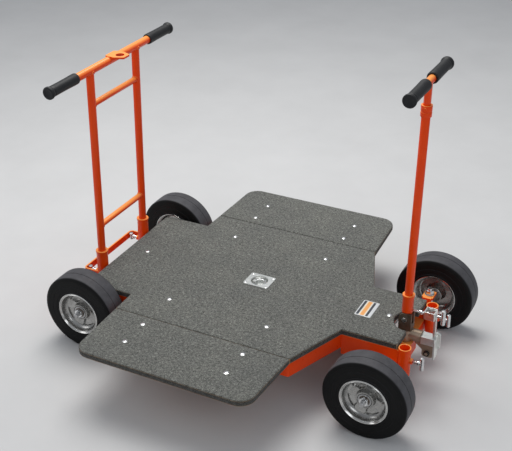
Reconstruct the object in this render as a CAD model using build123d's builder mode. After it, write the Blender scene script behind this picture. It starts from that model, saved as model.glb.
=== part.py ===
from build123d import *
import os
from math import sin, cos, radians

# Steerable carpeted platform dolly.
# +X is the steering end, +Z is up, Z = 0 is the ground, millimetres.

# ---------------------------------------------------------------- driving dimensions
AXLE_X = 495.0            # front and rear axles stand at +-AXLE_X
AXLE_Z = 130.0
TYRE_D = 260.0
TYRE_W = 79.0
RIM_D = 148.6
REAR_WHEEL_Y = 294.2      # middle of the rear wheels
FRONT_WHEEL_Y = 302.5     # middle of the front wheels
SHAFT_D = 20.0

DECK_TOP = 200.0
CARPET_T = 3.0
PANEL_T = 16.0
PANEL_Z = DECK_TOP - CARPET_T - PANEL_T      # underside of the plywood
PANEL_TOP = DECK_TOP - CARPET_T
REAR_END_X = -512.5
REAR_HALF_W = 247.0
NOTCH_X = -344.0
SEAM_Y = 333.5
SEAM_GAP = 1.0
BOARD_OUT_Y = 570.5
FRONT_EDGE_X = 261.0
NECK_X = 338.0
NECK_HALF_W = 132.6
FRONT_END_X = 514.5
CUTOUT_X, CUTOUT_R = 513.0, 55.0
BOLT_ROWS = (-216.5, 128.6)                  # bolt rows, over the cross tubes
MAIN_BOLT_Y = 219.2
BOARD_BOLT_Y = (373.2, 471.2)
CENTRE_BOLTS_X = (-439.0, 440.0)
TIE_X = -8.0
CUP_R = 30.0

FRAME_T = 6.0
NECK_PLATE_Z0 = 110.0
SIDE_PLATE_Z0 = 131.0

CROSS_TUBE = 38.0
CROSS_WALL = 3.0
CROSS_GAP = 0.5
BAR_IN_Y = 60.0

SOCKET_D = 38.0
POST_Y = 124.0
POST_D = 25.4
POST_BORE_D = 25.56
FRONT_SOCKET_X = 536.0
FRONT_SOCKET_BORE = 31.0
FRONT_SOCKET_Z0, FRONT_SOCKET_Z1 = 95.0, 190.0
POST_LEAN = 2.3
POST_FOOT = (-540.9, 0.0, 126.0)             # where the leaning post plane starts
POST_DIR = (sin(radians(POST_LEAN)), 0.0, cos(radians(POST_LEAN)))

HEAD_X = 495.0            # steering axis
PIVOT_Z = 212.0           # handle fold pivot
HANDLE_LEAN = 1.4
ARM_R = 85.0              # steering arm radius
KINGPIN_Y = 220.0
ROD_Z0, ROD_Z1 = 81.0, 91.0

os.makedirs("parts", exist_ok=True)


def save(name, part):
    part.label = name
    export_step(part, f"parts/{name}.step")


def tilted(angle, origin):
    # plane whose normal leans forward from vertical by the angle
    a = radians(angle)
    return Plane(origin=origin, x_dir=(cos(a), 0, -sin(a)), z_dir=(sin(a), 0, cos(a)))


# ---------------------------------------------------------------- deck
DECK_PTS = [
    (REAR_END_X, REAR_HALF_W), (NOTCH_X, REAR_HALF_W), (NOTCH_X + 2.8, SEAM_Y),
    (FRONT_EDGE_X, SEAM_Y), (NECK_X, NECK_HALF_W), (FRONT_END_X, NECK_HALF_W),
    (FRONT_END_X, -NECK_HALF_W), (NECK_X, -NECK_HALF_W), (FRONT_EDGE_X, -SEAM_Y),
    (NOTCH_X + 2.8, -SEAM_Y), (NOTCH_X, -REAR_HALF_W), (REAR_END_X, -REAR_HALF_W),
]
MAIN_BOLTS = [(x, s * MAIN_BOLT_Y) for x in BOLT_ROWS for s in (1, -1)] + [(x, 0) for x in CENTRE_BOLTS_X]

for name, z, t in (("deck_panel", PANEL_Z, PANEL_T), ("deck_carpet", PANEL_TOP, CARPET_T)):
    with BuildPart() as deck:
        with BuildSketch(Plane.XY.offset(z)) as outline:
            with BuildLine():
                Polyline(*DECK_PTS, close=True)
            make_face()
            fillet(outline.vertices().group_by(Axis.X)[0], 25)
            with Locations((CUTOUT_X, 0)):
                Circle(CUTOUT_R, mode=Mode.SUBTRACT)
            with Locations((TIE_X, 0)):
                Circle(CUP_R, mode=Mode.SUBTRACT)
            with Locations(*MAIN_BOLTS):
                Circle(4.15, mode=Mode.SUBTRACT)
        extrude(amount=t)
    save(name, deck.part)

# deck bolts: low round heads on the carpet, shanks into the steel below
with BuildPart() as deck_bolts:
    with BuildSketch(Plane.XY.offset(DECK_TOP)):
        with Locations(*MAIN_BOLTS):
            Circle(6.5)
    extrude(amount=2.2)
    chamfer(deck_bolts.faces().sort_by(Axis.Z)[-6:].edges(), 0.9)
    with BuildSketch(Plane.XY.offset(PANEL_Z - 3.0)):
        with Locations(*MAIN_BOLTS):
            Circle(4.0)
    extrude(amount=DECK_TOP - PANEL_Z + 3.0)
save("deck_bolts", deck_bolts.part)

# recessed tie-down plate with a round cup
with BuildPart() as tie_down_plate:
    with BuildSketch(Plane.XY.offset(DECK_TOP)):
        with Locations((TIE_X, 0)):
            RectangleRounded(87, 70, 6)
    extrude(amount=2.0)
    with BuildSketch(Plane.XY.offset(PANEL_Z + 2.0)):
        with Locations((TIE_X, 0)):
            Circle(CUP_R)
    extrude(amount=DECK_TOP - PANEL_Z - 2.0)
    with BuildSketch(Plane.XY.offset(PANEL_Z + 4.0)):
        with Locations((TIE_X, 0)):
            Circle(CUP_R - 2.0)
    extrude(amount=40, mode=Mode.SUBTRACT)
    # keeper block for the ring's straight bar
    with BuildSketch(Plane.XY.offset(PANEL_Z + 4.0)):
        with Locations((TIE_X - 17.0, 0)):
            Rectangle(12, 14)
    extrude(amount=13.0)
    with BuildSketch(Plane.XZ.offset(-20)):
        with Locations((TIE_X - 17.0, PANEL_Z + 12.0)):
            Circle(2.56)
    extrude(amount=40, mode=Mode.SUBTRACT)
save("tie_down_plate", tie_down_plate.part)

# D-shaped lifting ring lying in the cup
with BuildPart() as tie_down_ring:
    with BuildLine(Plane.XY.offset(PANEL_Z + 12.0)) as ring_path:
        l1 = Line((TIE_X - 17.0, 10.0), (TIE_X - 17.0, -10.0))
        l2 = Line((TIE_X - 17.0, -10.0), (TIE_X - 9.0, -18.0))
        l3 = Line((TIE_X - 17.0, 10.0), (TIE_X - 9.0, 18.0))
        ThreePointArc((TIE_X - 9.0, -18.0), (TIE_X + 19.5, 0.0), (TIE_X - 9.0, 18.0))
    with BuildSketch(Plane(origin=(TIE_X - 17.0, 0.0, PANEL_Z + 12.0), z_dir=(0, 1, 0))):
        Circle(2.5)
    sweep(path=ring_path.wire(), transition=Transition.ROUND)
save("tie_down_ring", tie_down_ring.part)

# ---------------------------------------------------------------- frame under the deck
SIDE_IN = SEAM_Y - 0.5 - FRAME_T


TUBE_Z1 = PANEL_Z
TUBE_Z0 = PANEL_Z - CROSS_TUBE
BEAM_HALF = 18.0
BEAM_Z0, BEAM_Z1 = 92.0, 128.0
REAR_PLATE_X = -519.0
with BuildPart() as frame_plates:
    for s in (1, -1):
        # long plates under the outer edges and the two plates of the notches
        with BuildSketch(Plane.XY.offset(SIDE_PLATE_Z0)):
            with Locations(((-336.0 + 251.9) / 2, s * (SIDE_IN + FRAME_T / 2))):
                Rectangle(251.9 + 336.0, FRAME_T)
            with Locations((-339.2, s * (243.1 + SIDE_IN + FRAME_T) / 2)):
                Rectangle(FRAME_T, SIDE_IN + FRAME_T - 243.1)
            with BuildLine():
                Polyline((252.0, s * SIDE_IN), (252.0, s * (SIDE_IN + FRAME_T)), (257.5, s * (SIDE_IN + FRAME_T - 2.0)),
                         (335.9, s * NECK_HALF_W), (335.9, s * (NECK_HALF_W - FRAME_T)),
                         (327.0, s * (NECK_HALF_W - FRAME_T + 4.0)), close=True)
            make_face()
        extrude(amount=PANEL_Z - SIDE_PLATE_Z0)
        # sides of the neck and of the rear section
        with BuildSketch(Plane.XY.offset(NECK_PLATE_Z0)):
            with Locations(((336.0 + 525.0) / 2, s * (NECK_HALF_W - FRAME_T / 2))):
                Rectangle(525.0 - 336.0, FRAME_T)
            with Locations(((-512.4 - 336.2) / 2, s * 240.0)):
                Rectangle(512.4 - 336.2, FRAME_T)
        extrude(amount=PANEL_Z - NECK_PLATE_Z0)
    # rear cross plate
    with BuildSketch(Plane.XY.offset(NECK_PLATE_Z0)):
        with Locations(((REAR_PLATE_X - 512.5) / 2, 0)):
            Rectangle(-512.5 - REAR_PLATE_X, 2 * 243.0)
    extrude(amount=PANEL_Z - NECK_PLATE_Z0)
    # notches over the cross tubes
    with BuildSketch(Plane.XY.offset(TUBE_Z0)):
        for x in BOLT_ROWS:
            with Locations((x, 0)):
                Rectangle(CROSS_TUBE, 800)
    extrude(amount=CROSS_TUBE, mode=Mode.SUBTRACT)
    # the neck plates end round the front sockets and straddle the axle beams
    with BuildSketch(Plane.XY.offset(NECK_PLATE_Z0 - 5)):
        with Locations((FRONT_SOCKET_X, POST_Y), (FRONT_SOCKET_X, -POST_Y)):
            Circle(SOCKET_D / 2)
    extrude(amount=120, mode=Mode.SUBTRACT)
    with BuildSketch(Plane.XY.offset(BEAM_Z0)):
        with Locations((AXLE_X, 0)):
            Rectangle(2 * BEAM_HALF, 400)
    extrude(amount=BEAM_Z1 - BEAM_Z0, mode=Mode.SUBTRACT)
    with BuildSketch(Plane.XZ.offset(-300)):
        with Locations((-AXLE_X, AXLE_Z)):
            Circle(SHAFT_D / 2)
    extrude(amount=600, mode=Mode.SUBTRACT)
save("frame_plates", frame_plates.part)

with BuildPart() as cross_tubes:
    with BuildSketch(Plane.XZ.offset(-(SEAM_Y - 0.5))):
        for x in BOLT_ROWS:
            with Locations((x, (TUBE_Z0 + TUBE_Z1) / 2)):
                Rectangle(CROSS_TUBE, CROSS_TUBE)
                Rectangle(CROSS_TUBE - 2 * CROSS_WALL, CROSS_TUBE - 2 * CROSS_WALL, mode=Mode.SUBTRACT)
    extrude(amount=2 * (SEAM_Y - 0.5))
    with BuildSketch(Plane.XY.offset(PANEL_Z - CROSS_WALL - 1)):
        with Locations(*[(x, s * MAIN_BOLT_Y) for x in BOLT_ROWS for s in (1, -1)]):
            Circle(4.0)
    extrude(amount=10, mode=Mode.SUBTRACT)
save("cross_tubes", cross_tubes.part)

with BuildPart() as spine_plates:
    half = CROSS_TUBE / 2
    spans = ((-512.5, BOLT_ROWS[0] - half), (BOLT_ROWS[0] + half, TIE_X - 34.0),
             (TIE_X + 34.0, BOLT_ROWS[1] - half), (BOLT_ROWS[1] + half, 456.0))
    with BuildSketch(Plane.XY.offset(PANEL_Z - 8.0)):
        for x0, x1 in spans:
            with Locations(((x0 + x1) / 2, 0)):
                Rectangle(x1 - x0, 70)
        with Locations((CENTRE_BOLTS_X[0], 0), (CENTRE_BOLTS_X[1], 0)):
            Circle(4.0, mode=Mode.SUBTRACT)
    extrude(amount=8.0)
save("spine_plates", spine_plates.part)

# ---------------------------------------------------------------- sockets, guard and clamp screws
REAR_AXIS_PLANE = tilted(POST_LEAN, POST_FOOT)
SCREW_Z_REAR = 160.0
SCREW_Z_FRONT = 147.0


def post_x(z):
    # X of the leaning post's axis at height z
    return POST_FOOT[0] + (z - POST_FOOT[2]) * POST_DIR[0] / POST_DIR[2]


with BuildPart() as rear_sockets:
    for s in (1, -1):
        plane = tilted(POST_LEAN, (POST_FOOT[0], s * POST_Y, POST_FOOT[2]))
        with BuildSketch(plane.offset(-14.0)):
            Circle(SOCKET_D / 2)
        extrude(amount=136.0)
        # rolled rim at the mouth
        with BuildSketch(plane.offset(117.0)):
            Circle(SOCKET_D / 2 + 1.6)
        extrude(amount=5.0)
        # saddle that stands off the rear plate
        with BuildSketch(Plane.XY.offset(116.0)):
            with Locations((REAR_PLATE_X - 9.0, s * POST_Y)):
                Rectangle(18.0, 34.0)
        extrude(amount=64.0)
        # threaded boss for the clamp screw
        with BuildSketch(Plane.YZ.offset(post_x(SCREW_Z_REAR) - 26.0)):
            with Locations((s * POST_Y, SCREW_Z_REAR)):
                Circle(9.0)
        extrude(amount=20.0)
        with BuildSketch(plane.offset(-6.0)):
            Circle(POST_BORE_D / 2)
        extrude(amount=150.0, mode=Mode.SUBTRACT)
        with BuildSketch(Plane.YZ.offset(post_x(SCREW_Z_REAR) - 40.0)):
            with Locations((s * POST_Y, SCREW_Z_REAR)):
                Circle(5.08)
        extrude(amount=38.0, mode=Mode.SUBTRACT)
save("rear_sockets", rear_sockets.part)

with BuildPart() as front_sockets:
    for s in (1, -1):
        with BuildSketch(Plane.XY.offset(FRONT_SOCKET_Z0)):
            with Locations((FRONT_SOCKET_X, s * POST_Y)):
                Circle(SOCKET_D / 2)
        extrude(amount=FRONT_SOCKET_Z1 - FRONT_SOCKET_Z0)
        with BuildSketch(Plane.YZ.offset(FRONT_SOCKET_X + 12.0)):
            with Locations((s * POST_Y, SCREW_Z_FRONT)):
                Circle(9.0)
        extrude(amount=14.0)
        with BuildSketch(Plane.XY.offset(FRONT_SOCKET_Z0 - 5)):
            with Locations((FRONT_SOCKET_X, s * POST_Y)):
                Circle(FRONT_SOCKET_BORE / 2)
        extrude(amount=120, mode=Mode.SUBTRACT)
        with BuildSketch(Plane.YZ.offset(FRONT_SOCKET_X + 10.0)):
            with Locations((s * POST_Y, SCREW_Z_FRONT)):
                Circle(5.08)
        extrude(amount=30.0, mode=Mode.SUBTRACT)
save("front_sockets", front_sockets.part)

# clamp screws: shank, collar and a cross handle
for name, s, x_tip, d, z, half in (
        ("rear_left_clamp_screw", 1, post_x(SCREW_Z_REAR) - 13.3, -1, SCREW_Z_REAR, 11.8),
        ("rear_right_clamp_screw", -1, post_x(SCREW_Z_REAR) - 13.3, -1, SCREW_Z_REAR, 11.8),
        ("front_left_clamp_screw", 1, FRONT_SOCKET_X + 16.2, 1, SCREW_Z_FRONT, 22.0),
        ("front_right_clamp_screw", -1, FRONT_SOCKET_X + 16.2, 1, SCREW_Z_FRONT, 22.0)):
    x_face = x_tip + d * (25.0 if d < 0 else 25.3)
    grip_r = 7.0 if d < 0 else 6.0
    length = (x_face - x_tip) * d
    with BuildPart() as clamp_screw:
        with BuildSketch(Plane.YZ.offset(x_tip)):
            with Locations((s * POST_Y, z)):
                Circle(5.0)
        extrude(amount=d * (length + 14.0))
        with BuildSketch(Plane.YZ.offset(x_face)):
            with Locations((s * POST_Y, z)):
                Circle(8.0)
        extrude(amount=d * 5.0)
        with BuildSketch(Plane.XY.offset(z - half)):
            with Locations((x_face + d * 13.5, s * POST_Y)):
                Circle(grip_r)
        extrude(amount=2 * half)
        fillet(clamp_screw.edges().filter_by(GeomType.CIRCLE).group_by(Axis.Z)[-1], 1.5)
        fillet(clamp_screw.edges().filter_by(GeomType.CIRCLE).group_by(Axis.Z)[0], 1.5)
    save(name, clamp_screw.part)

GUARD_X = -606.5
with BuildPart() as rear_guard:
    with BuildSketch(Plane.XY.offset(148.0)) as guard_sk:
        with BuildLine():
            Polyline((-541.0, 139.0), (-541.0, 144.0), (GUARD_X, 144.0), (GUARD_X, -144.0), (-541.0, -144.0),
                     (-541.0, -139.0), (GUARD_X + 5.0, -139.0), (GUARD_X + 5.0, 139.0), close=True)
        make_face()
        fillet(guard_sk.vertices().sort_by(Axis.X)[:2], 14)
        fillet(guard_sk.vertices().sort_by(Axis.X).filter_by(lambda v: abs(v.X - (GUARD_X + 5.0)) < 0.01), 9)
    extrude(amount=23.0)
    for s in (1, -1):
        plane = tilted(POST_LEAN, (POST_FOOT[0], s * POST_Y, POST_FOOT[2]))
        with BuildSketch(plane.offset(-20.0)):
            Circle(SOCKET_D / 2)
        extrude(amount=120.0, mode=Mode.SUBTRACT)
save("rear_guard", rear_guard.part)

# ---------------------------------------------------------------- side boards
for side, s in (("left", 1), ("right", -1)):
    y0 = s * (SEAM_Y + SEAM_GAP)
    pts = [(NOTCH_X + 2.85, y0), (-333.5, s * BOARD_OUT_Y), (247.0, s * BOARD_OUT_Y), (FRONT_EDGE_X, y0)]
    bolts = [(x, s * y) for x in BOLT_ROWS for y in BOARD_BOLT_Y]
    for name, z, t in ((f"{side}_board_panel", PANEL_Z, PANEL_T), (f"{side}_board_carpet", PANEL_TOP, CARPET_T)):
        with BuildPart() as board:
            with BuildSketch(Plane.XY.offset(z)) as outline:
                with BuildLine():
                    Polyline(*pts, close=True)
                make_face()
                fillet(outline.vertices().filter_by(lambda v: abs(abs(v.Y) - BOARD_OUT_Y) < 0.01), 48)
                with Locations(*bolts):
                    Circle(4.15, mode=Mode.SUBTRACT)
            extrude(amount=t)
        save(name, board.part)
    bar_h = CROSS_TUBE - 2 * CROSS_WALL - 2 * CROSS_GAP
    bar_z0 = TUBE_Z0 + CROSS_WALL + CROSS_GAP
    with BuildPart() as board_bars:
        for x in BOLT_ROWS:
            with BuildSketch(Plane.XY.offset(bar_z0)):
                with Locations((x, s * (BAR_IN_Y + 500.0) / 2)):
                    Rectangle(bar_h, 500.0 - BAR_IN_Y)
            extrude(amount=bar_h)
            with BuildSketch(Plane.XY.offset(bar_z0 + bar_h)):
                with Locations((x, s * (340.0 + 500.0) / 2)):
                    Rectangle(bar_h, 160.0)
            extrude(amount=PANEL_Z - bar_z0 - bar_h)
        with BuildSketch(Plane.XY.offset(PANEL_Z - 14.0)):
            with Locations(*bolts):
                Circle(4.0)
        extrude(amount=20.0, mode=Mode.SUBTRACT)
    save(f"{side}_board_bars", board_bars.part)
    with BuildPart() as board_bolts:
        with BuildSketch(Plane.XY.offset(DECK_TOP)):
            with Locations(*bolts):
                Circle(6.5)
        extrude(amount=2.2)
        chamfer(board_bolts.faces().sort_by(Axis.Z)[-4:].edges(), 0.9)
        with BuildSketch(Plane.XY.offset(PANEL_Z - 14.0)):
            with Locations(*bolts):
                Circle(4.0)
        extrude(amount=DECK_TOP - PANEL_Z + 14.0)
    save(f"{side}_board_bolts", board_bolts.part)

# ---------------------------------------------------------------- push bar
BAR_S = (883.0 - POST_FOOT[2]) / POST_DIR[2]        # along the posts to the top tube's axis
TOP_X = post_x(883.0)
TOP_D = 25.4
RUNG_D = 19.5
with BuildPart() as push_bar_posts:
    for s in (1, -1):
        with BuildSketch(tilted(POST_LEAN, (POST_FOOT[0], s * POST_Y, POST_FOOT[2])).offset(-5.5)):
            Circle(POST_D / 2)
        extrude(amount=BAR_S + 5.5)
    with BuildSketch(Plane.XZ.offset(-400)):
        with Locations((TOP_X, 883.0)):
            Circle(TOP_D / 2)
    extrude(amount=800, mode=Mode.SUBTRACT)
    for s in (1, -1):
        with BuildSketch(tilted(POST_LEAN, (POST_FOOT[0], s * POST_Y, POST_FOOT[2])).offset(2.0)):
            Circle(POST_D / 2 - 2.2)
        extrude(amount=BAR_S - 22.0, mode=Mode.SUBTRACT)
save("push_bar_posts", push_bar_posts.part)

with BuildPart() as push_bar_rungs:
    for z in (342.0, 772.0):
        with BuildSketch(Plane.XZ.offset(-POST_Y)):
            with Locations((post_x(z), z)):
                Circle(RUNG_D / 2)
        extrude(amount=2 * POST_Y)
    for s in (1, -1):
        with BuildSketch(tilted(POST_LEAN, (POST_FOOT[0], s * POST_Y, POST_FOOT[2]))):
            Circle(POST_D / 2)
        extrude(amount=800.0, mode=Mode.SUBTRACT)
save("push_bar_rungs", push_bar_rungs.part)

# crossbar, with the flat lug with a hole welded on top and pointing forward
LUG_HOLE_X, LUG_HOLE_R = -483.0, 14.0
with BuildPart() as push_bar_crossbar:
    with BuildSketch(Plane.XY.offset(892.0)) as lug_sk:
        with BuildLine():
            Polyline((TOP_X - 12.0, 24.0), (TOP_X + 22.0, 29.0), (TOP_X + 52.5, 16.0), (TOP_X + 52.5, -16.0),
                     (TOP_X + 22.0, -29.0), (TOP_X - 12.0, -24.0), close=True)
        make_face()
        fillet(lug_sk.vertices(), 4)
        with Locations((LUG_HOLE_X, 0)):
            Circle(LUG_HOLE_R, mode=Mode.SUBTRACT)
    extrude(amount=6.0)
    with BuildSketch(Plane.XZ.offset(-326.0)):
        with Locations((TOP_X, 883.0)):
            Circle(TOP_D / 2)
    extrude(amount=652.0)
save("push_bar_crossbar", push_bar_crossbar.part)


def grip_profile(y_in, y_out, r_in):
    # half section of a rubber grip along its axis: bulged body, waist and end flange
    return [(y_in, r_in), (y_in, 14.8), (y_in + 4, 16.8), (y_in + 30, 16.4), (y_in + 60, 15.2),
            (y_out - 24, 15.6), (y_out - 10, 16.6), (y_out - 7, 19.5), (y_out - 1, 19.8), (y_out, 18.0),
            (y_out, 0.0), (y_out - 2.0, 0.0), (y_out - 2.0, r_in)]


with BuildPart() as push_bar_grips:
    for s in (1, -1):
        with BuildSketch(Plane(origin=(TOP_X, 0, 883.0), x_dir=(0, s, 0), z_dir=(1, 0, 0))):
            with BuildLine():
                Polyline(*grip_profile(194.0, 328.0, TOP_D / 2), close=True)
            make_face()
        revolve(axis=Axis((TOP_X, 0, 883.0), (0, 1, 0)))
save("push_bar_grips", push_bar_grips.part)

# ---------------------------------------------------------------- front axle, kingpins, steering housing
HOUSING = 56.0
with BuildPart() as front_axle_beams:
    for s in (1, -1):
        with BuildSketch(Plane.XY.offset(BEAM_Z0)):
            with Locations((AXLE_X, s * (HOUSING / 2 + 192.0) / 2)):
                Rectangle(2 * BEAM_HALF, 192.0 - HOUSING / 2)
        extrude(amount=BEAM_Z1 - BEAM_Z0)
    # relief behind the front sockets
    with BuildSketch(Plane.XY.offset(BEAM_Z0 - 5)):
        with Locations((FRONT_SOCKET_X, POST_Y), (FRONT_SOCKET_X, -POST_Y)):
            Circle(SOCKET_D / 2)
    extrude(amount=100, mode=Mode.SUBTRACT)
save("front_axle_beams", front_axle_beams.part)

with BuildPart() as steering_housing:
    with BuildSketch(Plane.XY.offset(88.0)):
        with Locations((HEAD_X, 0)):
            RectangleRounded(HOUSING, HOUSING, 4)
    extrude(amount=43.0)
    with BuildSketch(Plane.XY.offset(80.0)):
        with Locations((HEAD_X, 0)):
            Circle(15.0)
    extrude(amount=60.0, mode=Mode.SUBTRACT)
save("steering_housing", steering_housing.part)

with BuildPart() as steering_bushes:
    for z in (88.0, 113.0):
        with BuildSketch(Plane.XY.offset(z)):
            with Locations((HEAD_X, 0)):
                Circle(15.0)
                Circle(12.05, mode=Mode.SUBTRACT)
        extrude(amount=18.0)
save("steering_bushes", steering_bushes.part)

with BuildPart() as kingpin_brackets:
    for s in (1, -1):
        with BuildSketch(Plane.XY.offset(84.0)):
            with Locations((AXLE_X, s * 195.0)):
                Rectangle(28.0, 6.0)
        extrude(amount=80.0)
        with BuildSketch(Plane.XY.offset(156.0)) as top_sk:
            with BuildLine():
                Polyline((AXLE_X - 18, s * 198.0), (AXLE_X + 18, s * 198.0), (AXLE_X + 18, s * 240.0),
                         (AXLE_X - 18, s * 240.0), close=True)
            make_face()
            with Locations((AXLE_X, s * KINGPIN_Y)):
                Circle(8.0, mode=Mode.SUBTRACT)
        extrude(amount=8.0)
        with BuildSketch(Plane.XY.offset(84.0)):
            with BuildLine():
                Polyline((AXLE_X - 18, s * 198.0), (AXLE_X + 18, s * 198.0), (AXLE_X + 18, s * 240.0),
                         (AXLE_X - 18, s * 240.0), close=True)
            make_face()
            with Locations((AXLE_X, s * KINGPIN_Y)):
                Circle(8.0, mode=Mode.SUBTRACT)
        extrude(amount=8.0)
save("kingpin_brackets", kingpin_brackets.part)

with BuildPart() as kingpins:
    for s in (1, -1):
        with BuildSketch(Plane.XY.offset(76.0)):
            with Locations((AXLE_X, s * KINGPIN_Y)):
                Circle(8.0)
        extrude(amount=111.0)
        with BuildSketch(Plane.XY.offset(164.0)):
            with Locations((AXLE_X, s * KINGPIN_Y)):
                Circle(16.0)
        extrude(amount=3.0)
        with BuildSketch(Plane.XY.offset(167.0)):
            with Locations((AXLE_X, s * KINGPIN_Y)):
                RegularPolygon(13.5, 6)
        extrude(amount=13.0)
        with BuildSketch(Plane.XY.offset(74.0)):
            with Locations((AXLE_X, s * KINGPIN_Y)):
                RegularPolygon(13.5, 6)
        extrude(amount=10.0)
save("kingpins", kingpins.part)

# knuckles: barrel, outboard boss, stub axle, steering arm and rod stud in one forging
KNUCKLE_FACE = 270.8
HUB_HALF = 31.0
STUD_D = 15.0
STUD_OUT = 24.0           # axle end beyond the hub face
for name, s in (("front_left_knuckle", 1), ("front_right_knuckle", -1)):
    with BuildPart() as knuckle:
        with BuildSketch(Plane.XY.offset(92.5)):
            with Locations((AXLE_X, s * KINGPIN_Y)):
                Circle(15.0)
        extrude(amount=63.0)
        with BuildSketch(Plane.XZ.offset(-s * KINGPIN_Y)):
            with Locations((AXLE_X, AXLE_Z)):
                Circle(18.0)
        extrude(amount=-s * (KNUCKLE_FACE - KINGPIN_Y))
        with BuildSketch(Plane.XZ.offset(-s * KNUCKLE_FACE)):
            with Locations((AXLE_X, AXLE_Z)):
                Circle(SHAFT_D / 2)
        extrude(amount=-s * (FRONT_WHEEL_Y + HUB_HALF + 7.0 - KNUCKLE_FACE))
        # nut and threaded end outside the hub
        with BuildSketch(Plane.XZ.offset(-s * (FRONT_WHEEL_Y + HUB_HALF + 0.5))):
            with Locations((AXLE_X, AXLE_Z)):
                RegularPolygon(14.5, 6)
        extrude(amount=-s * 8.5)
        with BuildSketch(Plane.XZ.offset(-s * (FRONT_WHEEL_Y + HUB_HALF))):
            with Locations((AXLE_X, AXLE_Z)):
                Circle(STUD_D / 2)
        extrude(amount=-s * STUD_OUT)
        # steering arm and rod stud behind the kingpin
        with BuildSketch(Plane.XY.offset(94.0)):
            with Locations((AXLE_X - ARM_R / 2, s * KINGPIN_Y)):
                Rectangle(ARM_R, 18.0)
            with Locations((AXLE_X - ARM_R, s * KINGPIN_Y)):
                Circle(11.0)
        extrude(amount=10.0)
        with BuildSketch(Plane.XY.offset(76.0)):
            with Locations((AXLE_X - ARM_R, s * KINGPIN_Y)):
                Circle(5.5)
        extrude(amount=28.0)
        with BuildSketch(Plane.XY.offset(60.0)):
            with Locations((AXLE_X, s * KINGPIN_Y)):
                Circle(8.06)
        extrude(amount=120.0, mode=Mode.SUBTRACT)
    save(name, knuckle.part)

# ---------------------------------------------------------------- steering body
LUG_X0, LUG_X1 = 553.0, 588.0
PIN_Z = 240.0             # handle lock pin
with BuildPart() as steering_spindle:
    with BuildSketch(Plane.XY.offset(69.0)):
        with Locations((HEAD_X, 0)):
            Circle(12.0)
    extrude(amount=65.0)
    with BuildSketch(Plane.XY.offset(79.0)):
        with Locations((HEAD_X, 0)):
            Circle(18.0)
    extrude(amount=8.5)
    # drag arm under the housing, reaching back to the tie rod
    with BuildSketch(Plane.XY.offset(69.0)):
        with Locations((HEAD_X - ARM_R / 2, 0)):
            Rectangle(ARM_R, 24.0)
        with Locations((HEAD_X, 0)):
            Circle(18.0)
        with Locations((HEAD_X - ARM_R, 0)):
            Circle(13.0)
    extrude(amount=10.0)
    with BuildSketch(Plane.XY.offset(79.0)):
        with Locations((HEAD_X - ARM_R, 0)):
            Circle(6.0)
    extrude(amount=13.0)
    with BuildSketch(Plane.XY.offset(91.5)):
        with Locations((HEAD_X - ARM_R, 0)):
            RegularPolygon(10.0, 6)
    extrude(amount=6.0)
save("steering_spindle", steering_spindle.part)

with BuildPart() as steering_arm:
    # hub over the spindle, horizontal barrel reaching forward, lug hanging at its end
    with BuildSketch(Plane.XY.offset(134.0)):
        with Locations((HEAD_X, 0)):
            Circle(23.0)
    extrude(amount=38.0)
    with BuildSketch(Plane.YZ.offset(HEAD_X)):
        with Locations((0, 153.0)):
            Circle(19.0)
    extrude(amount=52.0)
    with BuildSketch(Plane.XZ.offset(-12.0)) as lug_sk:
        with BuildLine():
            Polyline((530.0, 137.9), (530.0, 134.5), (LUG_X0, 116.0), (LUG_X0, 92.0), (LUG_X1, 92.0), (LUG_X1, 137.9), close=True)
        make_face()
        fillet(lug_sk.vertices().group_by(Axis.Y)[0], 8)
    extrude(amount=24.0)
    with BuildSketch(Plane.XZ.offset(12.0)):
        with Locations((569.0, 106.0)):
            Circle(9.0)
    extrude(amount=6.0)
save("steering_arm", steering_arm.part)

with BuildPart() as steering_clevis:
    # cap block, end plate and upright side lug
    with BuildSketch(Plane.XY.offset(138.0)):
        with Locations((570.0, 0)):
            RectangleRounded(46.0, 32.0, 2.5)
    extrude(amount=25.0)
    with BuildSketch(Plane.XY.offset(88.0)):
        with Locations((590.6, 0)):
            Rectangle(4.8, 32.0)
    extrude(amount=60.0)
    with BuildSketch(Plane.XZ.offset(-15.5)) as cheek_sk:
        with BuildLine():
            Polyline((577.0, 110.0), (600.0, 110.0), (600.0, 168.0), (577.0, 168.0), close=True)
        make_face()
        fillet(cheek_sk.vertices(), 9)
    extrude(amount=-7.0)
save("steering_clevis", steering_clevis.part)

with BuildPart() as handle_lock_bracket:
    # upright bar on the cap, carrying a short square tube with the lock pin's holes
    with BuildSketch(Plane.XY.offset(163.0)):
        with Locations((585.0, 0)):
            Rectangle(6.0, 14.0)
    extrude(amount=80.0)
    with BuildSketch(Plane.XY.offset(229.0)):
        with Locations((569.0, 0)):
            RectangleRounded(34.0, 32.0, 2.5)
            RectangleRounded(28.0, 26.0, 1.0, mode=Mode.SUBTRACT)
    extrude(amount=26.0)
    with BuildSketch(Plane.YZ.offset(540.0)):
        with Locations((0, PIN_Z)):
            Circle(4.06)
    extrude(amount=60.0, mode=Mode.SUBTRACT)
save("handle_lock_bracket", handle_lock_bracket.part)

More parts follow.
